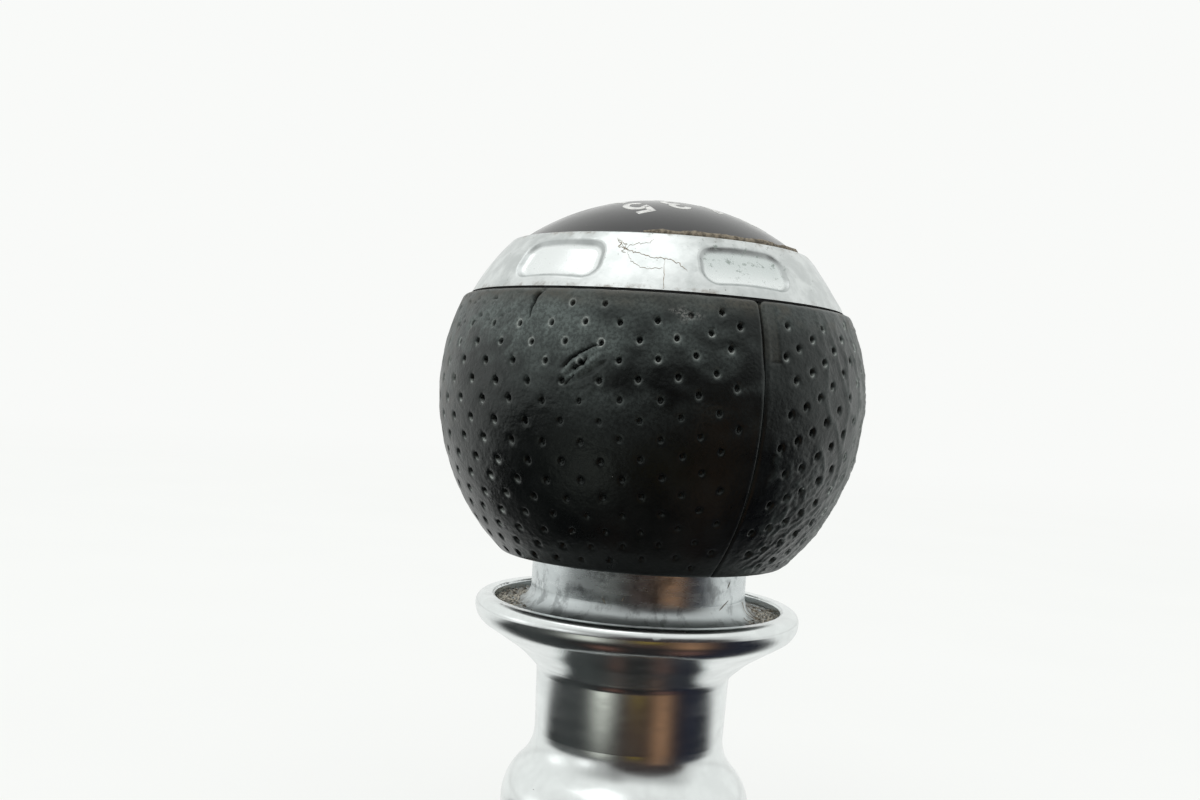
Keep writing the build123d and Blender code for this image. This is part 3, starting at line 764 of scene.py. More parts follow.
def left_wear(x, s, angle, height):
    """The left panel's tear, split, nicks and dirt: height, dust with painted sheen, stain, scuff, and
    painted shade in the cuts.
    """
    torn, torn_dust, torn_shade = tear(angle, height)
    split, split_shade = top_split(angle, height)
    nicks = np.clip(perlin(x, s, 0.8, 0.35, 7.7) - 0.28, 0, 1)
    nicks = nicks * smooth(angle, 60, 72) * smooth(height, 4.0, 7.5)
    dust_and_sheen, stain = left_dirt_and_sheen(x, s, angle, height)
    spot = np.hypot((angle - SCUFF_ANGLE) * DEGREE * SCUFF_R, (height - SCUFF_HEIGHT) * 2.2)
    scuff_and_sheen = 0.7 * smooth(spot + 1.3 * perlin(x, s, 1.1, 0.5, 6.6), 2.2, 0.4)
    # painted shade in the tear's slits, the split and the nicks
    return torn + split - 0.5 * nicks, dust_and_sheen + torn_dust, stain, scuff_and_sheen, torn_shade + split_shade + 1.5 * nicks


def right_creases(x, s, angle, height):
    """The right panel's creases and folds: height, and a painted highlight along their ridges, which goes
    into the dust and sheen.
    """
    along = x * cos(CREASE_LEAN) + (MIDDLE_S - s) * sin(CREASE_LEAN)
    across = -x * sin(CREASE_LEAN) + (MIDDLE_S - s) * cos(CREASE_LEAN)
    bend = 1.2 * perlin(x, s, 5.0, 5.0, 6.0)
    low = smooth(height, -4.0, -9.0) * smooth(angle, 6, 14) * smooth(angle, 75, 40)
    middle = smooth(height, -12.0, -5.0) * smooth(height, 9.0, 3.0)
    middle = middle * smooth(angle, 14, 24) * smooth(angle, 85, 55)
    upper = smooth(height, 2.0, 6.0) * smooth(angle, 10, 20)
    creases = ridges(along, across + bend, 2.8, 0.9, 0.4, 7)
    web = ridges(along + bend, across, 1.4, 1.1, 5.5, 8)
    lean_x = x - 0.22 * (s - TOP_ROUND_S)
    folds = ridges(lean_x + 0.4 * bend, s, 2.2, 7.0, 2.2, 8)
    scars = np.clip(perlin(x, s, 0.5, 1.6, 15.5) - 0.3, 0, 1) * smooth(np.abs(angle - 9), 7, 3)
    lift = low * (0.10 * creases + 0.07 * web - 0.03) + middle * 0.17 * (folds - 0.2)
    lift += upper * 0.10 * ridges(lean_x, s, 1.8, 4.5, 8.8, 7)
    lift += 0.25 * scars * smooth(np.abs(height + 5), 6, 3)
    # the ridges of the creases, folds and scars are painted paler: a painted highlight
    return lift, 0.25 * low * (creases + web) + 0.25 * middle * folds + 0.35 * scars


def right_wear(x, s, angle, height):
    """The right panel's creases, flattened seam strip and dirt: height, dust with painted sheen and
    highlights, stain, scuff with painted sheen, and painted shade in the notch.
    """
    lift, dust_and_sheen = right_creases(x, s, angle, height)
    strip = smooth(x, 1.75, 1.6) * smooth(height, 4.0, 4.3)
    notch = bell(height, 4.1, 0.12) * smooth(x, 1.9, 1.5)
    rubbed = smooth(angle, 100, 62)
    # painted sheen: the upper part is lighter, where light falls on it
    dust_and_sheen += 0.14 * smooth(height, -2.0, 9.5) + 0.24 * smooth(height, 6.5, 9.5)
    # along the right edge the leather is paler: pale dust and a painted grazing sheen, here and in the scuff
    # below
    dust_and_sheen += 0.14 * smooth(angle, 20, 44) + 0.6 * smooth(angle, 28, 48) * rubbed
    dust_and_sheen += 0.14 * perlin(x, s, 6.0, 4.0, 11.3) * smooth(height, -4, 4)
    stain = 0.28 * strip + 0.7 * smooth(height, 7.5, 9.8) * smooth(perlin(x, s, 1.6, 1.0, 14.4), 0.05, 0.45)
    scuff_and_sheen = 0.7 * smooth(angle, 34, 52) * rubbed
    # the notch's opening is painted black: painted shade
    return lift - 0.09 * strip - 0.15 * notch, dust_and_sheen, stain, scuff_and_sheen, 0.7 * notch


def panel_lift(side, x, s, angle, height, pits, worn):
    """How far a panel's outside stands off the plain outline."""
    # the holes are pressed flatter low down in the middle of the view, where the leather is smooth
    aside = np.abs(CAMERA_TURN_DEGREES + side * angle)
    pits = pits * (0.45 + 0.55 * np.maximum(smooth(height, -4, 5), smooth(aside, 14, 36)))
    outside = smooth(s, TOP_FLAT_S, TOP_ROUND_S + 0.2) * smooth(s, LOW_ROUND_S, BELLY_S - 0.4)
    inland = smooth(np.minimum(x, WIDTH - x), 0.1, 0.9)
    swell = 0.09 * perlin(x, s, 7.0, 6.0, 20.0 + side) + 0.035 * perlin(x, s, 2.4, 2.0, 30.0 + side)
    edge = 0.05 * perlin(x, s, 1.2, 9.0, 40.0) * smooth(s, TOP_ROUND_S + 1.0, TOP_FLAT_S)
    seam = np.where(s < 0.01, 0, seam_height(x, s, height))
    return outside * inland * (pits + worn + swell - 0.05) + seam + edge


def inner_outline():
    """Points down the leather's inner side, from below its top edge to the mouth's upper edge."""
    top = np.degrees(np.arcsin((LEATHER_TOP_Z - BALL_Z) / (BALL_R - LEATHER)))
    upper = arc(0, BALL_Z, BALL_R - LEATHER, top, 0, 2.0)[1:, :2]
    low_z = LEATHER_LOW_Z + LEATHER
    low = np.degrees(np.arcsin((low_z - BALL_Z) / (BELLY_R - LEATHER)))
    lower = arc(BELLY_X, BALL_Z, BELLY_R - LEATHER, 0, low, 2.0)[1:, :2]
    return [*upper, *lower, (MOUTH_R, low_z)]


def close_panel(side, flat, outer_count, faces):
    """Adds the faces of a panel's plain inner side and its seam walls. Returns the inner points."""
    index = {(round(u, 3), round(v, 3)): k for k, (u, v) in enumerate(flat)}
    columns = np.concatenate([EDGE_X, ACROSS_X, (WIDTH - EDGE_X)[::-1]])
    rings = [[index[(round(u, 3), 0.0)] for u in columns]]
    inner = []
    for r, z in inner_outline():
        first = outer_count + len(inner)
        inner += [(side * r * sin(u / FLAT_R), -r * cos(u / FLAT_R), z) for u in columns]
        rings.append(list(range(first, first + len(columns))))
    rings.append([index[(round(u, 3), round(LENGTH_S, 3))] for u in columns])
    for upper, lower in zip(rings, rings[1:]):
        for k in range(len(columns) - 1):
            faces.append([upper[k], lower[k], lower[k + 1], upper[k + 1]])
    for end, column in ((0, EDGE_X[0]), (-1, WIDTH - EDGE_X[0])):
        wall = [index[(round(column, 3), round(v, 3))] for v in EDGE_S]
        faces.append(wall + [ring[end] for ring in reversed(rings[1:-1])])
    return inner


def turn_faces_outwards(mesh):
    work = bmesh.new()
    work.from_mesh(mesh)
    bmesh.ops.recalc_face_normals(work, faces=work.faces)
    work.to_mesh(mesh)
    work.free()


def make_panel(name, side, holes, wear, finer):
    """A closed leather panel: a detailed outside, a plain inside and a wall along each seam."""
    mesh = delaunay_2d_cdt([Vector(point) for point in flat_points(holes, finer)], [], [], 0, 1e-5, False)
    flat = np.array([tuple(point) for point in mesh[0]])
    faces = [list(face) for face in mesh[2]]
    x, s = flat.T
    turn = x / FLAT_R
    angle = np.degrees(turn)
    r, z, normal_r, normal_z = outline_at(s)
    round_r = np.where(z > BALL_Z, BALL_R, BELLY_R)
    height = round_r * np.arcsin(np.clip((z - BALL_Z) / round_r, -1, 1))
    owner, nearest, below = hole_field(x, s, holes)
    worn, dust_and_sheen, stain, scuff_and_sheen, cut_shade = wear(x, s, angle, height)
    lift = panel_lift(side, x, s, angle, height, pit_height(nearest), worn)
    radius = r + normal_r * lift
    points = np.stack([side * radius * np.sin(turn), -radius * np.cos(turn), z + normal_z * lift], 1)
    inner = close_panel(side, flat, len(points), faces)
    piece = add_piece(name, np.concatenate([points, inner]), faces, "knob", leather_material)
    turn_faces_outwards(piece.data)
    # the holes' lower lips get a painted highlight where light falls from above, and where dust and painted
    # sheen lie the whole lip is paler
    lit = np.maximum(smooth(height, -3, 6), smooth(angle, 56, 76) * smooth(height, -20, -12))
    highlight_crescent = lit * bell(nearest, 0.36, 0.08) * smooth(below, 0.1, 0.75)
    whole = 0.9 * bell(nearest, 0.38, 0.07) * smooth(dust_and_sheen, 0.25, 0.55)
    lip = rng.uniform(0.3, 1.0, len(holes))[owner] * np.maximum(highlight_crescent, whole)
    # the holes' rims are painted paler higher up, a painted highlight, and the dust and sheen lie on the rims
    # and not in the holes
    rims = 0.14 * bell(nearest, 0.5, 0.16) * smooth(height, -3, 6)
    dust_and_sheen = (np.maximum(dust_and_sheen, 0) + rims) * (1 - smooth(nearest, 0.4, 0.15))
    for value_name, value in zip(WEAR_VALUES, (dust_and_sheen, stain, scuff_and_sheen, cut_shade, lip)):
        add_values(piece, value_name, np.concatenate([np.clip(value, 0, 1), np.zeros(len(inner))]))
    return piece


left_holes = LEFT_LATTICE.holes()
# no holes show beside the split, along the top edge
left_holes = left_holes[(left_holes[:, 0] < radians(57) * FLAT_R) | (left_holes[:, 1] > MIDDLE_S - 8.2)]
right_holes = RIGHT_LATTICE.holes()
tear_x = radians(TEAR_ANGLE) * FLAT_R
tear_s = MIDDLE_S - TEAR_HEIGHT
split_x = radians(SPLIT_ANGLE) * FLAT_R
# flat patches with a finer mesh: their ends along x and s, and the mesh's step
left_finer = (
    (tear_x - 3.2, tear_x + 3.0, tear_s - 3.0, tear_s + 3.2, 0.15),
    (split_x - 0.9, split_x + 0.9, TOP_ROUND_S, TOP_ROUND_S + 3.6, 0.13),
    (split_x, split_x + 13.0, TOP_ROUND_S + 0.2, TOP_ROUND_S + 5.0, 0.26),
)
right_finer = (
    (0.75, 2.2, TOP_ROUND_S + 0.1, MIDDLE_S - 3.4, 0.17),
    (3.0, 20.0, MIDDLE_S + 2.5, BELLY_S - 0.3, 0.24),
    (5.0, 24.0, TOP_ROUND_S + 0.5, MIDDLE_S + 2.5, 0.32),
)
leather_left = make_panel("leather_left_skin", -1, left_holes, left_wear, left_finer)
leather_right = make_panel("leather_right_skin", 1, right_holes, right_wear, right_finer)
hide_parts("leather_left")
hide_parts("leather_right")


# Small pieces made of tubes, strips and grains

class Builder:
    """Collects closed meshes into one piece."""

    def __init__(self):
        self.points = []
        self.faces = []

    def bead(self, path, radii, sides):
        """A closed tube along a path, with its own radius at each point."""
        path = [Vector(point) for point in path]
        first = len(self.points)
        normal = None
        for k, point in enumerate(path):
            tangent = (path[min(k + 1, len(path) - 1)] - path[max(k - 1, 0)]).normalized()
            if normal is None:
                normal = tangent.orthogonal()
            normal = (normal - tangent * normal.dot(tangent)).normalized()
            other = tangent.cross(normal)
            for side in range(sides):
                turn = 2 * pi * side / sides
                self.points.append(tuple(point + float(radii[k]) * (cos(turn) * normal + sin(turn) * other)))
        for k in range(len(path) - 1):
            for side in range(sides):
                a = first + k * sides + side
                b = first + k * sides + (side + 1) % sides
                self.faces.append([a, b, b + sides, a + sides])
        last = first + (len(path) - 1) * sides
        self.faces.append([first + side for side in reversed(range(sides))])
        self.faces.append([last + side for side in range(sides)])

    def grain(self, centre, size):
        """A small rough lump."""
        work = bmesh.new()
        bmesh.ops.create_icosphere(work, subdivisions=1, radius=1.0)
        turn = Matrix.Rotation(rng.uniform(0, 2 * pi), 3, Vector(rng.normal(size=3)).normalized())
        scale = rng.uniform(0.6, 1.2, 3) * size
        first = len(self.points)
        for vertex in work.verts:
            lump = vertex.co * float(rng.uniform(0.75, 1.15))
            lump = turn @ Vector((lump.x * scale[0], lump.y * scale[1], lump.z * scale[2]))
            self.points.append(tuple(Vector(centre) + lump))
        self.faces += [[first + vertex.index for vertex in face.verts] for face in work.faces]
        work.free()

    def piece(self, name, body, slot, material):
        return add_piece(name, self.points, self.faces, body, material)


# The gear pattern on the cap

STROKE = 0.38           # half the width of a figure's line
GATE_STROKE = 0.24      # half the width of the gate's lines
PRINT_HALF = 0.02       # how far the print stands out of the cap, and how far it is sunk in
PRINT_STEP = 0.25
WIDEST_MITER = 1.8


def bow(centre_x, centre_y, radius_x, radius_y, start, end, count=14):
    """Points of an elliptic arc, in degrees."""
    angle = np.radians(np.linspace(start, end, count))
    return [(centre_x + radius_x * cos(t), centre_y + radius_y * sin(t)) for t in angle]


# centre lines of the figures in a box 3 wide and 4.5 high, about its middle
FIGURES = {
    "R": [
        [(-1.25, -2.0), (-1.25, 2.0), (0.2, 2.0), *bow(0.2, 0.95, 1.05, 1.05, 80, -80), (-1.25, -0.1)],
        [(0.1, -0.1), (1.25, -2.0)],
    ],
    "1": [[(-0.75, 1.2), (0.15, 2.0), (0.15, -2.0)]],
    "2": [[*bow(0, 0.85, 1.2, 1.15, 165, -30), (-1.2, -2.0), (1.3, -2.0)]],
    "3": [
        [*bow(-0.05, 1.0, 1.1, 1.0, 150, -80), (-0.25, 0.05)],
        [(-0.25, 0.05), *bow(-0.05, -0.95, 1.25, 1.05, 85, -150)],
    ],
    "4": [[(0.55, -2.0), (0.55, 2.0), (-1.3, -0.85), (1.4, -0.85)]],
    "5": [[(1.1, 2.0), (-0.85, 2.0), (-1.05, 0.25), *bow(0, -0.65, 1.25, 1.35, 125, -145)]],
    "6": [[(0.7, 2.0), *bow(0.35, -0.7, 1.6, 2.3, 110, 175), *bow(0, -0.75, 1.25, 1.25, 180, 540, 26)]],
}
# places on the cap, where the figures' tops point to the front
COLUMNS = (7.0, 2.33, -2.33, -7.0)
FRONT_ROW = -7.5
REAR_ROW = 7.5
GATE_END = 4.1
FIGURE_NARROW = 0.8


def on_dome(x, y, lift):
    """A point above the cap at that place, lifted off its surface."""
    flat = Vector((x, y, sqrt(DOME_R**2 - x * x - y * y)))
    return Vector((0, 0, DOME_Z)) + flat * (1 + lift / DOME_R)


def divide(line, step, least):
    """The same line with points about a step apart, and at least so many steps between its corners."""
    made = [Vector(line[0])]
    for start, end in zip(line, line[1:]):
        start, end = Vector(start), Vector(end)
        count = max(least, int((end - start).length / step))
        made += [start.lerp(end, (k + 1) / count) for k in range(count)]
    return made


def print_line(builder, line, half):
    """A flat printed line on the dome, closed all round."""
    line = divide(line, PRINT_STEP, 1)
    last = len(line) - 1
    first_point = len(builder.points)
    for k, point in enumerate(line):
        before = (point - line[k - 1]).normalized() if k > 0 else None
        after = (line[k + 1] - point).normalized() if k < last else None
        before, after = before or after, after or before
        tangent = (before + after).normalized()
        miter = min(WIDEST_MITER, 1 / max(0.3, tangent.dot(before)))
        side = Vector((-tangent.y, tangent.x)) * half * miter
        # both ends reach out by half the half width
        centre = point + half / 2 * ((k == last) - (k == 0)) * tangent
        for lift in (PRINT_HALF, -PRINT_HALF):
            for corner in (centre + side, centre - side):
                builder.points.append(tuple(on_dome(corner.x, corner.y, lift)))
    for a in range(first_point, first_point + 4 * last, 4):
        for i, j in ((0, 1), (1, 3), (3, 2), (2, 0)):
            builder.faces.append([a + i, a + 4 + i, a + 4 + j, a + j])
    end_point = first_point + 4 * last
    builder.faces.append([first_point + corner for corner in (0, 1, 3, 2)])
    builder.faces.append([end_point + corner for corner in (1, 0, 2, 3)])


def add_pattern():
    """The printed figures and the gate between them."""
    pattern = Builder()
    for row, figures in ((FRONT_ROW, "R135"), (REAR_ROW, " 246")):
        for column, figure in zip(COLUMNS, figures):
            for stroke in FIGURES.get(figure, ()):
                print_line(pattern, [(column - FIGURE_NARROW * gx, row - gy) for gx, gy in stroke], STROKE)
    gate = [((COLUMNS[0], 0), (COLUMNS[-1], 0)), ((COLUMNS[0], 0), (COLUMNS[0], -GATE_END))]
    gate += [((column, -GATE_END), (column, GATE_END)) for column in COLUMNS[1:]]
    for line in gate:
        print_line(pattern, line, GATE_STROKE)
    pattern.piece("gear_pattern", "knob", "cap_plastic", print_material)


add_pattern()


# Cracks, grime and grit

CRACK_LIFT = 0.01       # a crack's dirt stands out a little
CRACK_STEP = 0.35
CRACK_RAGGED = 0.06
# hair cracks: their radius, and corners at azimuths from the front and heights above the ball's middle
CRACKS = (
    (0.038, ((-42.0, 16.6), (-40.6, 16.0), (-38.9, 15.6), (-36.9, 15.1), (-33.7, 14.85), (-29.3, 14.45),
             (-26.9, 14.45), (-24.4, 14.4), (-21.5, 13.9), (-19.4, 13.2))),
    (0.034, ((-26.2, 14.4), (-26.0, 13.6), (-25.9, 12.9), (-26.1, 12.2), (-25.9, 11.4), (-26.2, 10.95))),
    (0.026, ((-37.5, 15.0), (-36.4, 14.3), (-35.7, 13.9), (-32.7, 13.3), (-30.4, 13.2), (-26.4, 13.3))),
    (0.026, ((-38.0, 15.3), (-37.4, 15.8), (-34.5, 16.0), (-31.0, 16.2), (-29.8, 16.6))),
    # a tangle beside the left pocket
    (0.042, ((-41.5, 16.5), (-40.0, 16.1), (-40.6, 15.6), (-38.8, 15.5), (-39.4, 15.0), (-38.0, 14.9))),
    (0.036, ((-40.4, 16.6), (-39.6, 16.0), (-38.2, 15.9), (-38.5, 15.3), (-37.2, 15.1))),
)


def surface_of(name):
    """A search tree over a CAD node's surface, in millimetres."""
    mesh = nodes[name].data
    points = [vertex.co / MM for vertex in mesh.vertices]
    return BVHTree.FromPolygons(points, [tuple(polygon.vertices) for polygon in mesh.polygons])


ring_surface = surface_of("trim_ring")


def on_ring(azimuth, height):
    """A point on the ring's outside at an azimuth from the front and a height above the ball's middle."""
    outwards = around(sqrt(BALL_R**2 - height**2), azimuth, height) / BALL_R
    start = Vector((0, 0, BALL_Z)) + outwards * (BALL_R + 5)
    return ring_surface.ray_cast(start, -outwards)[0] + outwards * CRACK_LIFT


def crack(builder, radius, corners):
    """A ragged hair crack through the corners, half sunk in the ring."""
    places = divide(corners, CRACK_STEP, 2)
    path = []
    radii = []
    for k, place in enumerate(places):
        ragged = Vector(rng.normal(0, 1, 2)) * CRACK_RAGGED
        path.append(on_ring(place.x + ragged.x * 2.3, place.y + ragged.y))
        end = min(1, 0.35 + 0.25 * min(k, len(places) - 1 - k))
        radii.append(radius * end * rng.uniform(0.6, 1.3))
    builder.bead(path, radii, 5)


def add_cracks():
    cracks = Builder()
    for radius, corners in CRACKS:
        crack(cracks, radius, corners)
    cracks.piece("ring_cracks", "knob", "ring_chrome", crack_material)


def add_grime():
    """Grime in the joint of cap and ring: a ragged bead along the front, and loose grains."""
    grime = Builder()
    path = []
    radii = []
    for azimuth in np.arange(-34, 42, 0.7):
        ragged = 0.6 + 0.5 * noise.noise(Vector((azimuth * 0.11, 2.0, 0.0)))
        ragged += 0.15 * noise.noise(Vector((azimuth * 0.5, 5.0, 0.0)))
        ends = min(1, (azimuth + 36) / 8) * min(1, (44 - azimuth) / 8)
        path.append(around(CAP_R, azimuth, RING_TOP_Z + 0.2))
        radii.append(0.6 * max(0.2, ragged) * ends)
    grime.bead(path, radii, 8)
    for azimuth in rng.uniform(-40, 75, 90):
        radius = CAP_R + rng.uniform(-0.15, 0.55)
        grime.grain(around(radius, azimuth, RING_TOP_Z + 0.02), rng.uniform(0.04, 0.13))
    grime.piece("cap_grime", "knob", "cap_plastic", grime_material)


def dish_point(azimuth, radius):
    """A point on the dish, on its floor or on its rounding up to the sleeve."""
    inward = max(0.0, SLEEVE_R + DISH_ROUND - radius)
    rise = DISH_ROUND - sqrt(max(0.0, DISH_ROUND**2 - inward**2))
    return around(radius, azimuth, DISH_Z + rise)


# two dirty sides of the dish as the photo sees it, and a little dust all round: azimuths from the front,
# how many grains, their sizes, and whether they lie heaped in the middle
GRIT_PATCHES = (
    (-150, -84, 420, (0.08, 0.24), True),
    (30, 88, 300, (0.07, 0.2), True),
    (-180, 180, 110, (0.04, 0.1), False),
)
GRIT_INNER_R = 14.0
GRIT_FROM_LIP = 0.1


def add_grit():
    """Grit in the dish, with a tone for each grain."""
    grit = Builder()
    tones = []
    for low, high, count, sizes, heaped in GRIT_PATCHES:
        for _ in range(count):
            share = np.clip(rng.normal(0.5, 0.22), 0, 1) if heaped else rng.uniform(0, 1)
            azimuth = low + (high - low) * share
            radius = rng.uniform(GRIT_INNER_R, LIP_INNER_R - GRIT_FROM_LIP)
            before = len(grit.points)
            grit.grain(dish_point(azimuth, radius), rng.uniform(*sizes))
            tones += [rng.uniform()] * (len(grit.points) - before)
    add_values(grit.piece("dish_grit", "collar", "sleeve_aluminium", grit_material), "tone", tones)


FIBRES = 16
FIBRE_R = 0.03
FIBRE_STEPS = 9
FIBRE_STEP = 0.28
FIBRE_REACH = LIP_INNER_R - 0.15


def add_fibres():
    """Short curled fibres in the dish."""
    fibres = Builder()
    for _ in range(FIBRES):
        azimuth = rng.uniform(30, 85)
        radius = rng.uniform(14.6, 16.4)
        heading = rng.uniform(0, 2 * pi)
        place = dish_point(azimuth, radius) + Vector((0, 0, 0.12))
        path = [place.copy()]
        for _ in range(FIBRE_STEPS):
            heading += rng.normal(0, 0.35)
            place = place + Vector((cos(heading), sin(heading), 0)) * FIBRE_STEP
            reach = sqrt(place.x**2 + place.y**2)
            if reach > FIBRE_REACH:
                place *= FIBRE_REACH / reach
            floor = dish_point(0, sqrt(place.x**2 + place.y**2)).z
            place.z = floor + 0.1 + 0.1 * rng.uniform()
            path.append(place.copy())
        fibres.bead(path, [FIBRE_R] * len(path), 5)
    fibres.piece("dish_fibres", "collar", "sleeve_aluminium", crack_material)


# dark dashes rubbed into the sleeve: both ends at azimuths from the front and heights, and the radius
SLEEVE_MARKS = (
    ((15.0, 33.0), (26.5, 34.5), 0.07),
    ((25.0, 35.9), (27.0, 36.6), 0.06),
    ((-45.0, 34.6), (-43.0, 33.9), 0.06),
    ((-35.0, 34.4), (-34.0, 34.9), 0.07),
)


def add_sleeve_marks():
    marks = Builder()
    shares = np.linspace(0, 1, 9)
    for start, end, radius in SLEEVE_MARKS:
        places = [Vector(start).lerp(Vector(end), share) for share in shares]
        path = [around(SLEEVE_R, place.x, place.y) for place in places]
        marks.bead(path, radius * (0.4 + 0.6 * np.sin(pi * shares)), 5)
    marks.piece("sleeve_marks", "collar", "sleeve_aluminium", grime_material)


add_cracks()
add_grime()
add_grit()
add_fibres()
add_sleeve_marks()


# The spring is a copy of the CAD spring's mesh, which rides on the knob.
spring = bpy.data.objects.new("return_spring_coil", nodes["return_spring"].data.copy())
bpy.context.scene.collection.objects.link(spring)
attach(spring, "knob")
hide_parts("return_spring")
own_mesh(spring)


# Camera, stage and light

def camera_pose():
    """The camera's matrix: its right, up and backward axes, and its place."""
    level_part = cos(CAMERA_PITCH)
    forward = Vector((sin(CAMERA_YAW) * level_part, cos(CAMERA_YAW) * level_part, sin(CAMERA_PITCH)))
    level = Vector((cos(CAMERA_YAW), -sin(CAMERA_YAW), 0))
    upright = level.cross(forward)
    right = cos(CAMERA_ROLL) * level + sin(CAMERA_ROLL) * upright
    up = -sin(CAMERA_ROLL) * level + cos(CAMERA_ROLL) * upright
    pose = Matrix.Identity(4)
    for column, vector in enumerate((right, up, -forward)):
        pose.col[column].xyz = from_camera_frame(vector)
    pose.translation = (from_camera_frame(CAMERA_FROM_BALL) + Vector((0, 0, BALL_Z))) * MM
    return pose


def add_camera():
    data = bpy.data.cameras.new("camera")
    data.sensor_width = SENSOR
    data.lens = SENSOR * PHOTO_FOCAL / PHOTO_WIDTH
    data.clip_start = CAMERA_CLIP * MM
    camera = bpy.data.objects.new("camera", data)
    camera.matrix_world = camera_pose()
    bpy.context.scene.collection.objects.link(camera)
    bpy.context.scene.camera = camera


def floor_finish():
    """A pale floor that fades into the background, so no horizon shows."""
    f = Finish("floor_pale")
    colour = f.mix(f.noise(60.0, 3, 0.5), (0.24, 0.245, 0.24), (0.26, 0.265, 0.26))
    f.set(Base_Color=colour, Roughness=0.8, Specular_IOR_Level=0.0)
    away = f.vector_math("LENGTH", f.place)
    return f.set(Emission_Color=(0.97, 0.98, 0.965), Emission_Strength=0.7, Alpha=f.span_mm(away, 1200, 250))


def card_finish():
    """A card that shines in its mesh's own colours."""
    f = Finish("reflection_card")
    tint = f.node("Attribute", "Color", {}, attribute_name="tint")
    f.set(Base_Color=(0, 0, 0), Roughness=1.0, Specular_IOR_Level=0.0)
    return f.set(Emission_Color=tint, Emission_Strength=1.0)


FLOOR_R = 4000
FLOOR_CORNERS = 96


def add_floor():
    corners = [around(FLOOR_R, 360 * k / FLOOR_CORNERS, 0) for k in range(FLOOR_CORNERS)]
    add_object("floor", corners, [list(range(FLOOR_CORNERS))], floor_finish())


# Two cards around the part show in reflections only. Places on them go by azimuths from the camera.
CARD_WHITE = np.array((0.945, 0.955, 0.94))
CARD_BLACK = np.array((0.010, 0.011, 0.012))
CARD_BROWN = np.array((0.03, 0.022, 0.022))
CARD_AZIMUTHS = np.linspace(-180, 180, 181)
FLOOR_CARD_Z = 0.4
FLOOR_CARD_REACHES = np.geomspace(15.2, 3000, 90)
WALL_CARD_REACH = 700
WALL_CARD_HEIGHTS = np.linspace(0.5, 800, 40)
# the lying card's dark sector narrows with distance, from its left end to its right end
SECTOR_REACHES = (75, 130, 350, 900)
SECTOR_LEFT = (-109, -93, -68, -52)
SECTOR_RIGHT = (108, 94, 76, 62)
# bright spots on the standing card: azimuth, elevation and their widths, in degrees
WALL_SPOTS = ((-48, 9, 9, 7), (-88, 10, 8, 6))


def floor_card_tint(azimuth, reach):
    """Colour of the lying card at an azimuth and a distance: white, with tinted glows in a dark sector."""
    pale = (smooth(reach, 150, 100) + 0.15 * bell(reach, 240, 60)) * smooth(reach, 50, 88)
    brown = smooth(reach, 42, 60) * smooth(reach, 420, 300) * (1 - 0.7 * bell(reach, 140, 35))
    brown = brown * (1 + 0.7 * smooth(reach, 180, 230))
    near = bell(reach, 33, 9)
    # how strong each glow is at this distance, its azimuth, its width and its colour
    glows = (
        (1.0, 72, 24, (-0.001, 0.001, 0.012)),
        (1.0, -68, 26, (0.026, 0.029, 0.028)),
        (pale, -30, 12, (0.98, 1.0, 0.9)),
        (brown, 36, 11, (0.33, 0.175, 0.09)),
        (brown, 4, 15, (0.045, 0.024, 0.018)),
        (near, -20, 9, (0.15, 0.07, 0.05)),
        (near, 38, 12, (0.15, 0.07, 0.05)),
        (bell(reach, 97, 7), 8, 9, (0.5, 0.37, 0.01)),
    )
    tint = CARD_BLACK
    for strength, middle, width, colour in glows:
        tint = tint + strength * bell(azimuth, middle, width) * np.array(colour)
    left = np.interp(reach, SECTOR_REACHES, SECTOR_LEFT)
    right = np.interp(reach, SECTOR_REACHES, SECTOR_RIGHT)
    dark = smooth(azimuth, left - 9, left + 9) * smooth(azimuth, right + 12, right - 12)
    dark = dark * smooth(reach, 2600, 900)
    return dark * tint + (1 - dark) * CARD_WHITE


def wall_card_tint(azimuth, height):
    """Colour of the standing card: white, with a grey field, a dark mound and band, and bright spots."""
    rise = np.degrees(atan2(height, WALL_CARD_REACH))
    grey = smooth(azimuth, -80, -30) * smooth(azimuth, 95, 55) * smooth(rise, 46, 26)
    mound = 24 * sqrt(max(0, 1 - ((azimuth - 26) / 46) ** 2))
    band = 0.5 * bell(azimuth, -12, 9) * smooth(rise, 46, 34)
    dark = max(smooth(rise, mound + 4, mound - 4), band)
    tint = (1 - dark) * (1 - 0.5 * grey) * CARD_WHITE + dark * CARD_BROWN
    for spot_azimuth, spot_rise, wide, high in WALL_SPOTS:
        tint = tint + 0.9 * bell(azimuth, spot_azimuth, wide) * bell(rise, spot_rise, high)
    return tint


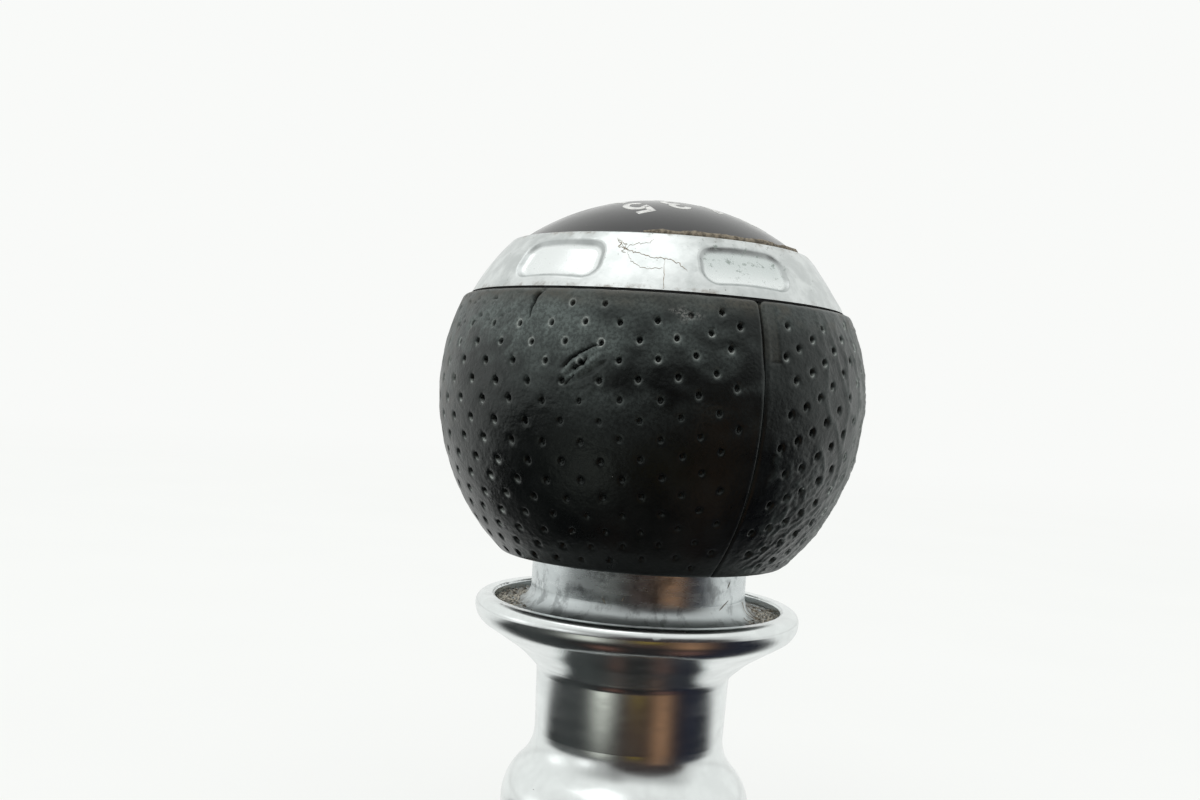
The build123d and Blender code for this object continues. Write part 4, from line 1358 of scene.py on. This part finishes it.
def add_card(name, rows, place, tint):
    """A card with a row of points at every azimuth for each of the rows, which shows in reflections only."""
    points = [from_camera_frame(place(azimuth, row)) for row in rows for azimuth in CARD_AZIMUTHS]
    count = len(CARD_AZIMUTHS)
    faces = [[r * count + k, r * count + k + 1, (r + 1) * count + k + 1, (r + 1) * count + k]
             for r in range(len(rows) - 1) for k in range(count - 1)]
    card = add_object(name, points, faces, card_finish())
    colours = [[*tint(azimuth, row), 1.0] for row in rows for azimuth in CARD_AZIMUTHS]
    attribute = card.data.attributes.new("tint", "FLOAT_COLOR", "POINT")
    attribute.data.foreach_set("color", np.array(colours, np.float32).ravel())
    for ray in ("camera", "diffuse", "shadow", "transmission", "volume_scatter"):
        setattr(card, "visible_" + ray, False)


def add_cards():
    add_card("room_floor", FLOOR_CARD_REACHES, lambda a, r: around(r, a, FLOOR_CARD_Z), floor_card_tint)
    add_card("room_wall", WALL_CARD_HEIGHTS, lambda a, z: around(WALL_CARD_REACH, a, z), wall_card_tint)


def add_world():
    """An even white background, which is also the studio's fill light."""
    world = bpy.data.worlds.new("studio")
    bpy.context.scene.world = world
    world.use_nodes = True
    background = world.node_tree.nodes["Background"]
    background.inputs["Color"].default_value = (0.965, 0.975, 0.96, 1)
    background.inputs["Strength"].default_value = 0.98


# a soft light above the ball: places from the foot in the camera's frame, its width and its watts
LIGHT_FROM = (-150, -100, 750)
LIGHT_TARGET = (0, 0, 60)
LIGHT_WIDTH = 550
LIGHT_POWER = 0.8


def add_light():
    data = bpy.data.lights.new("top_light", "AREA")
    data.shape = "SQUARE"
    data.size = LIGHT_WIDTH * MM
    data.energy = LIGHT_POWER
    light = bpy.data.objects.new("top_light", data)
    light.location = from_camera_frame(LIGHT_FROM) * MM
    light.rotation_euler = (Vector(LIGHT_TARGET) * MM - light.location).to_track_quat("-Z", "Y").to_euler()
    bpy.context.scene.collection.objects.link(light)


add_camera()
add_floor()
add_cards()
add_world()
add_light()
bpy.context.scene.view_settings.view_transform = "Standard"
bpy.context.scene.view_settings.look = "None"
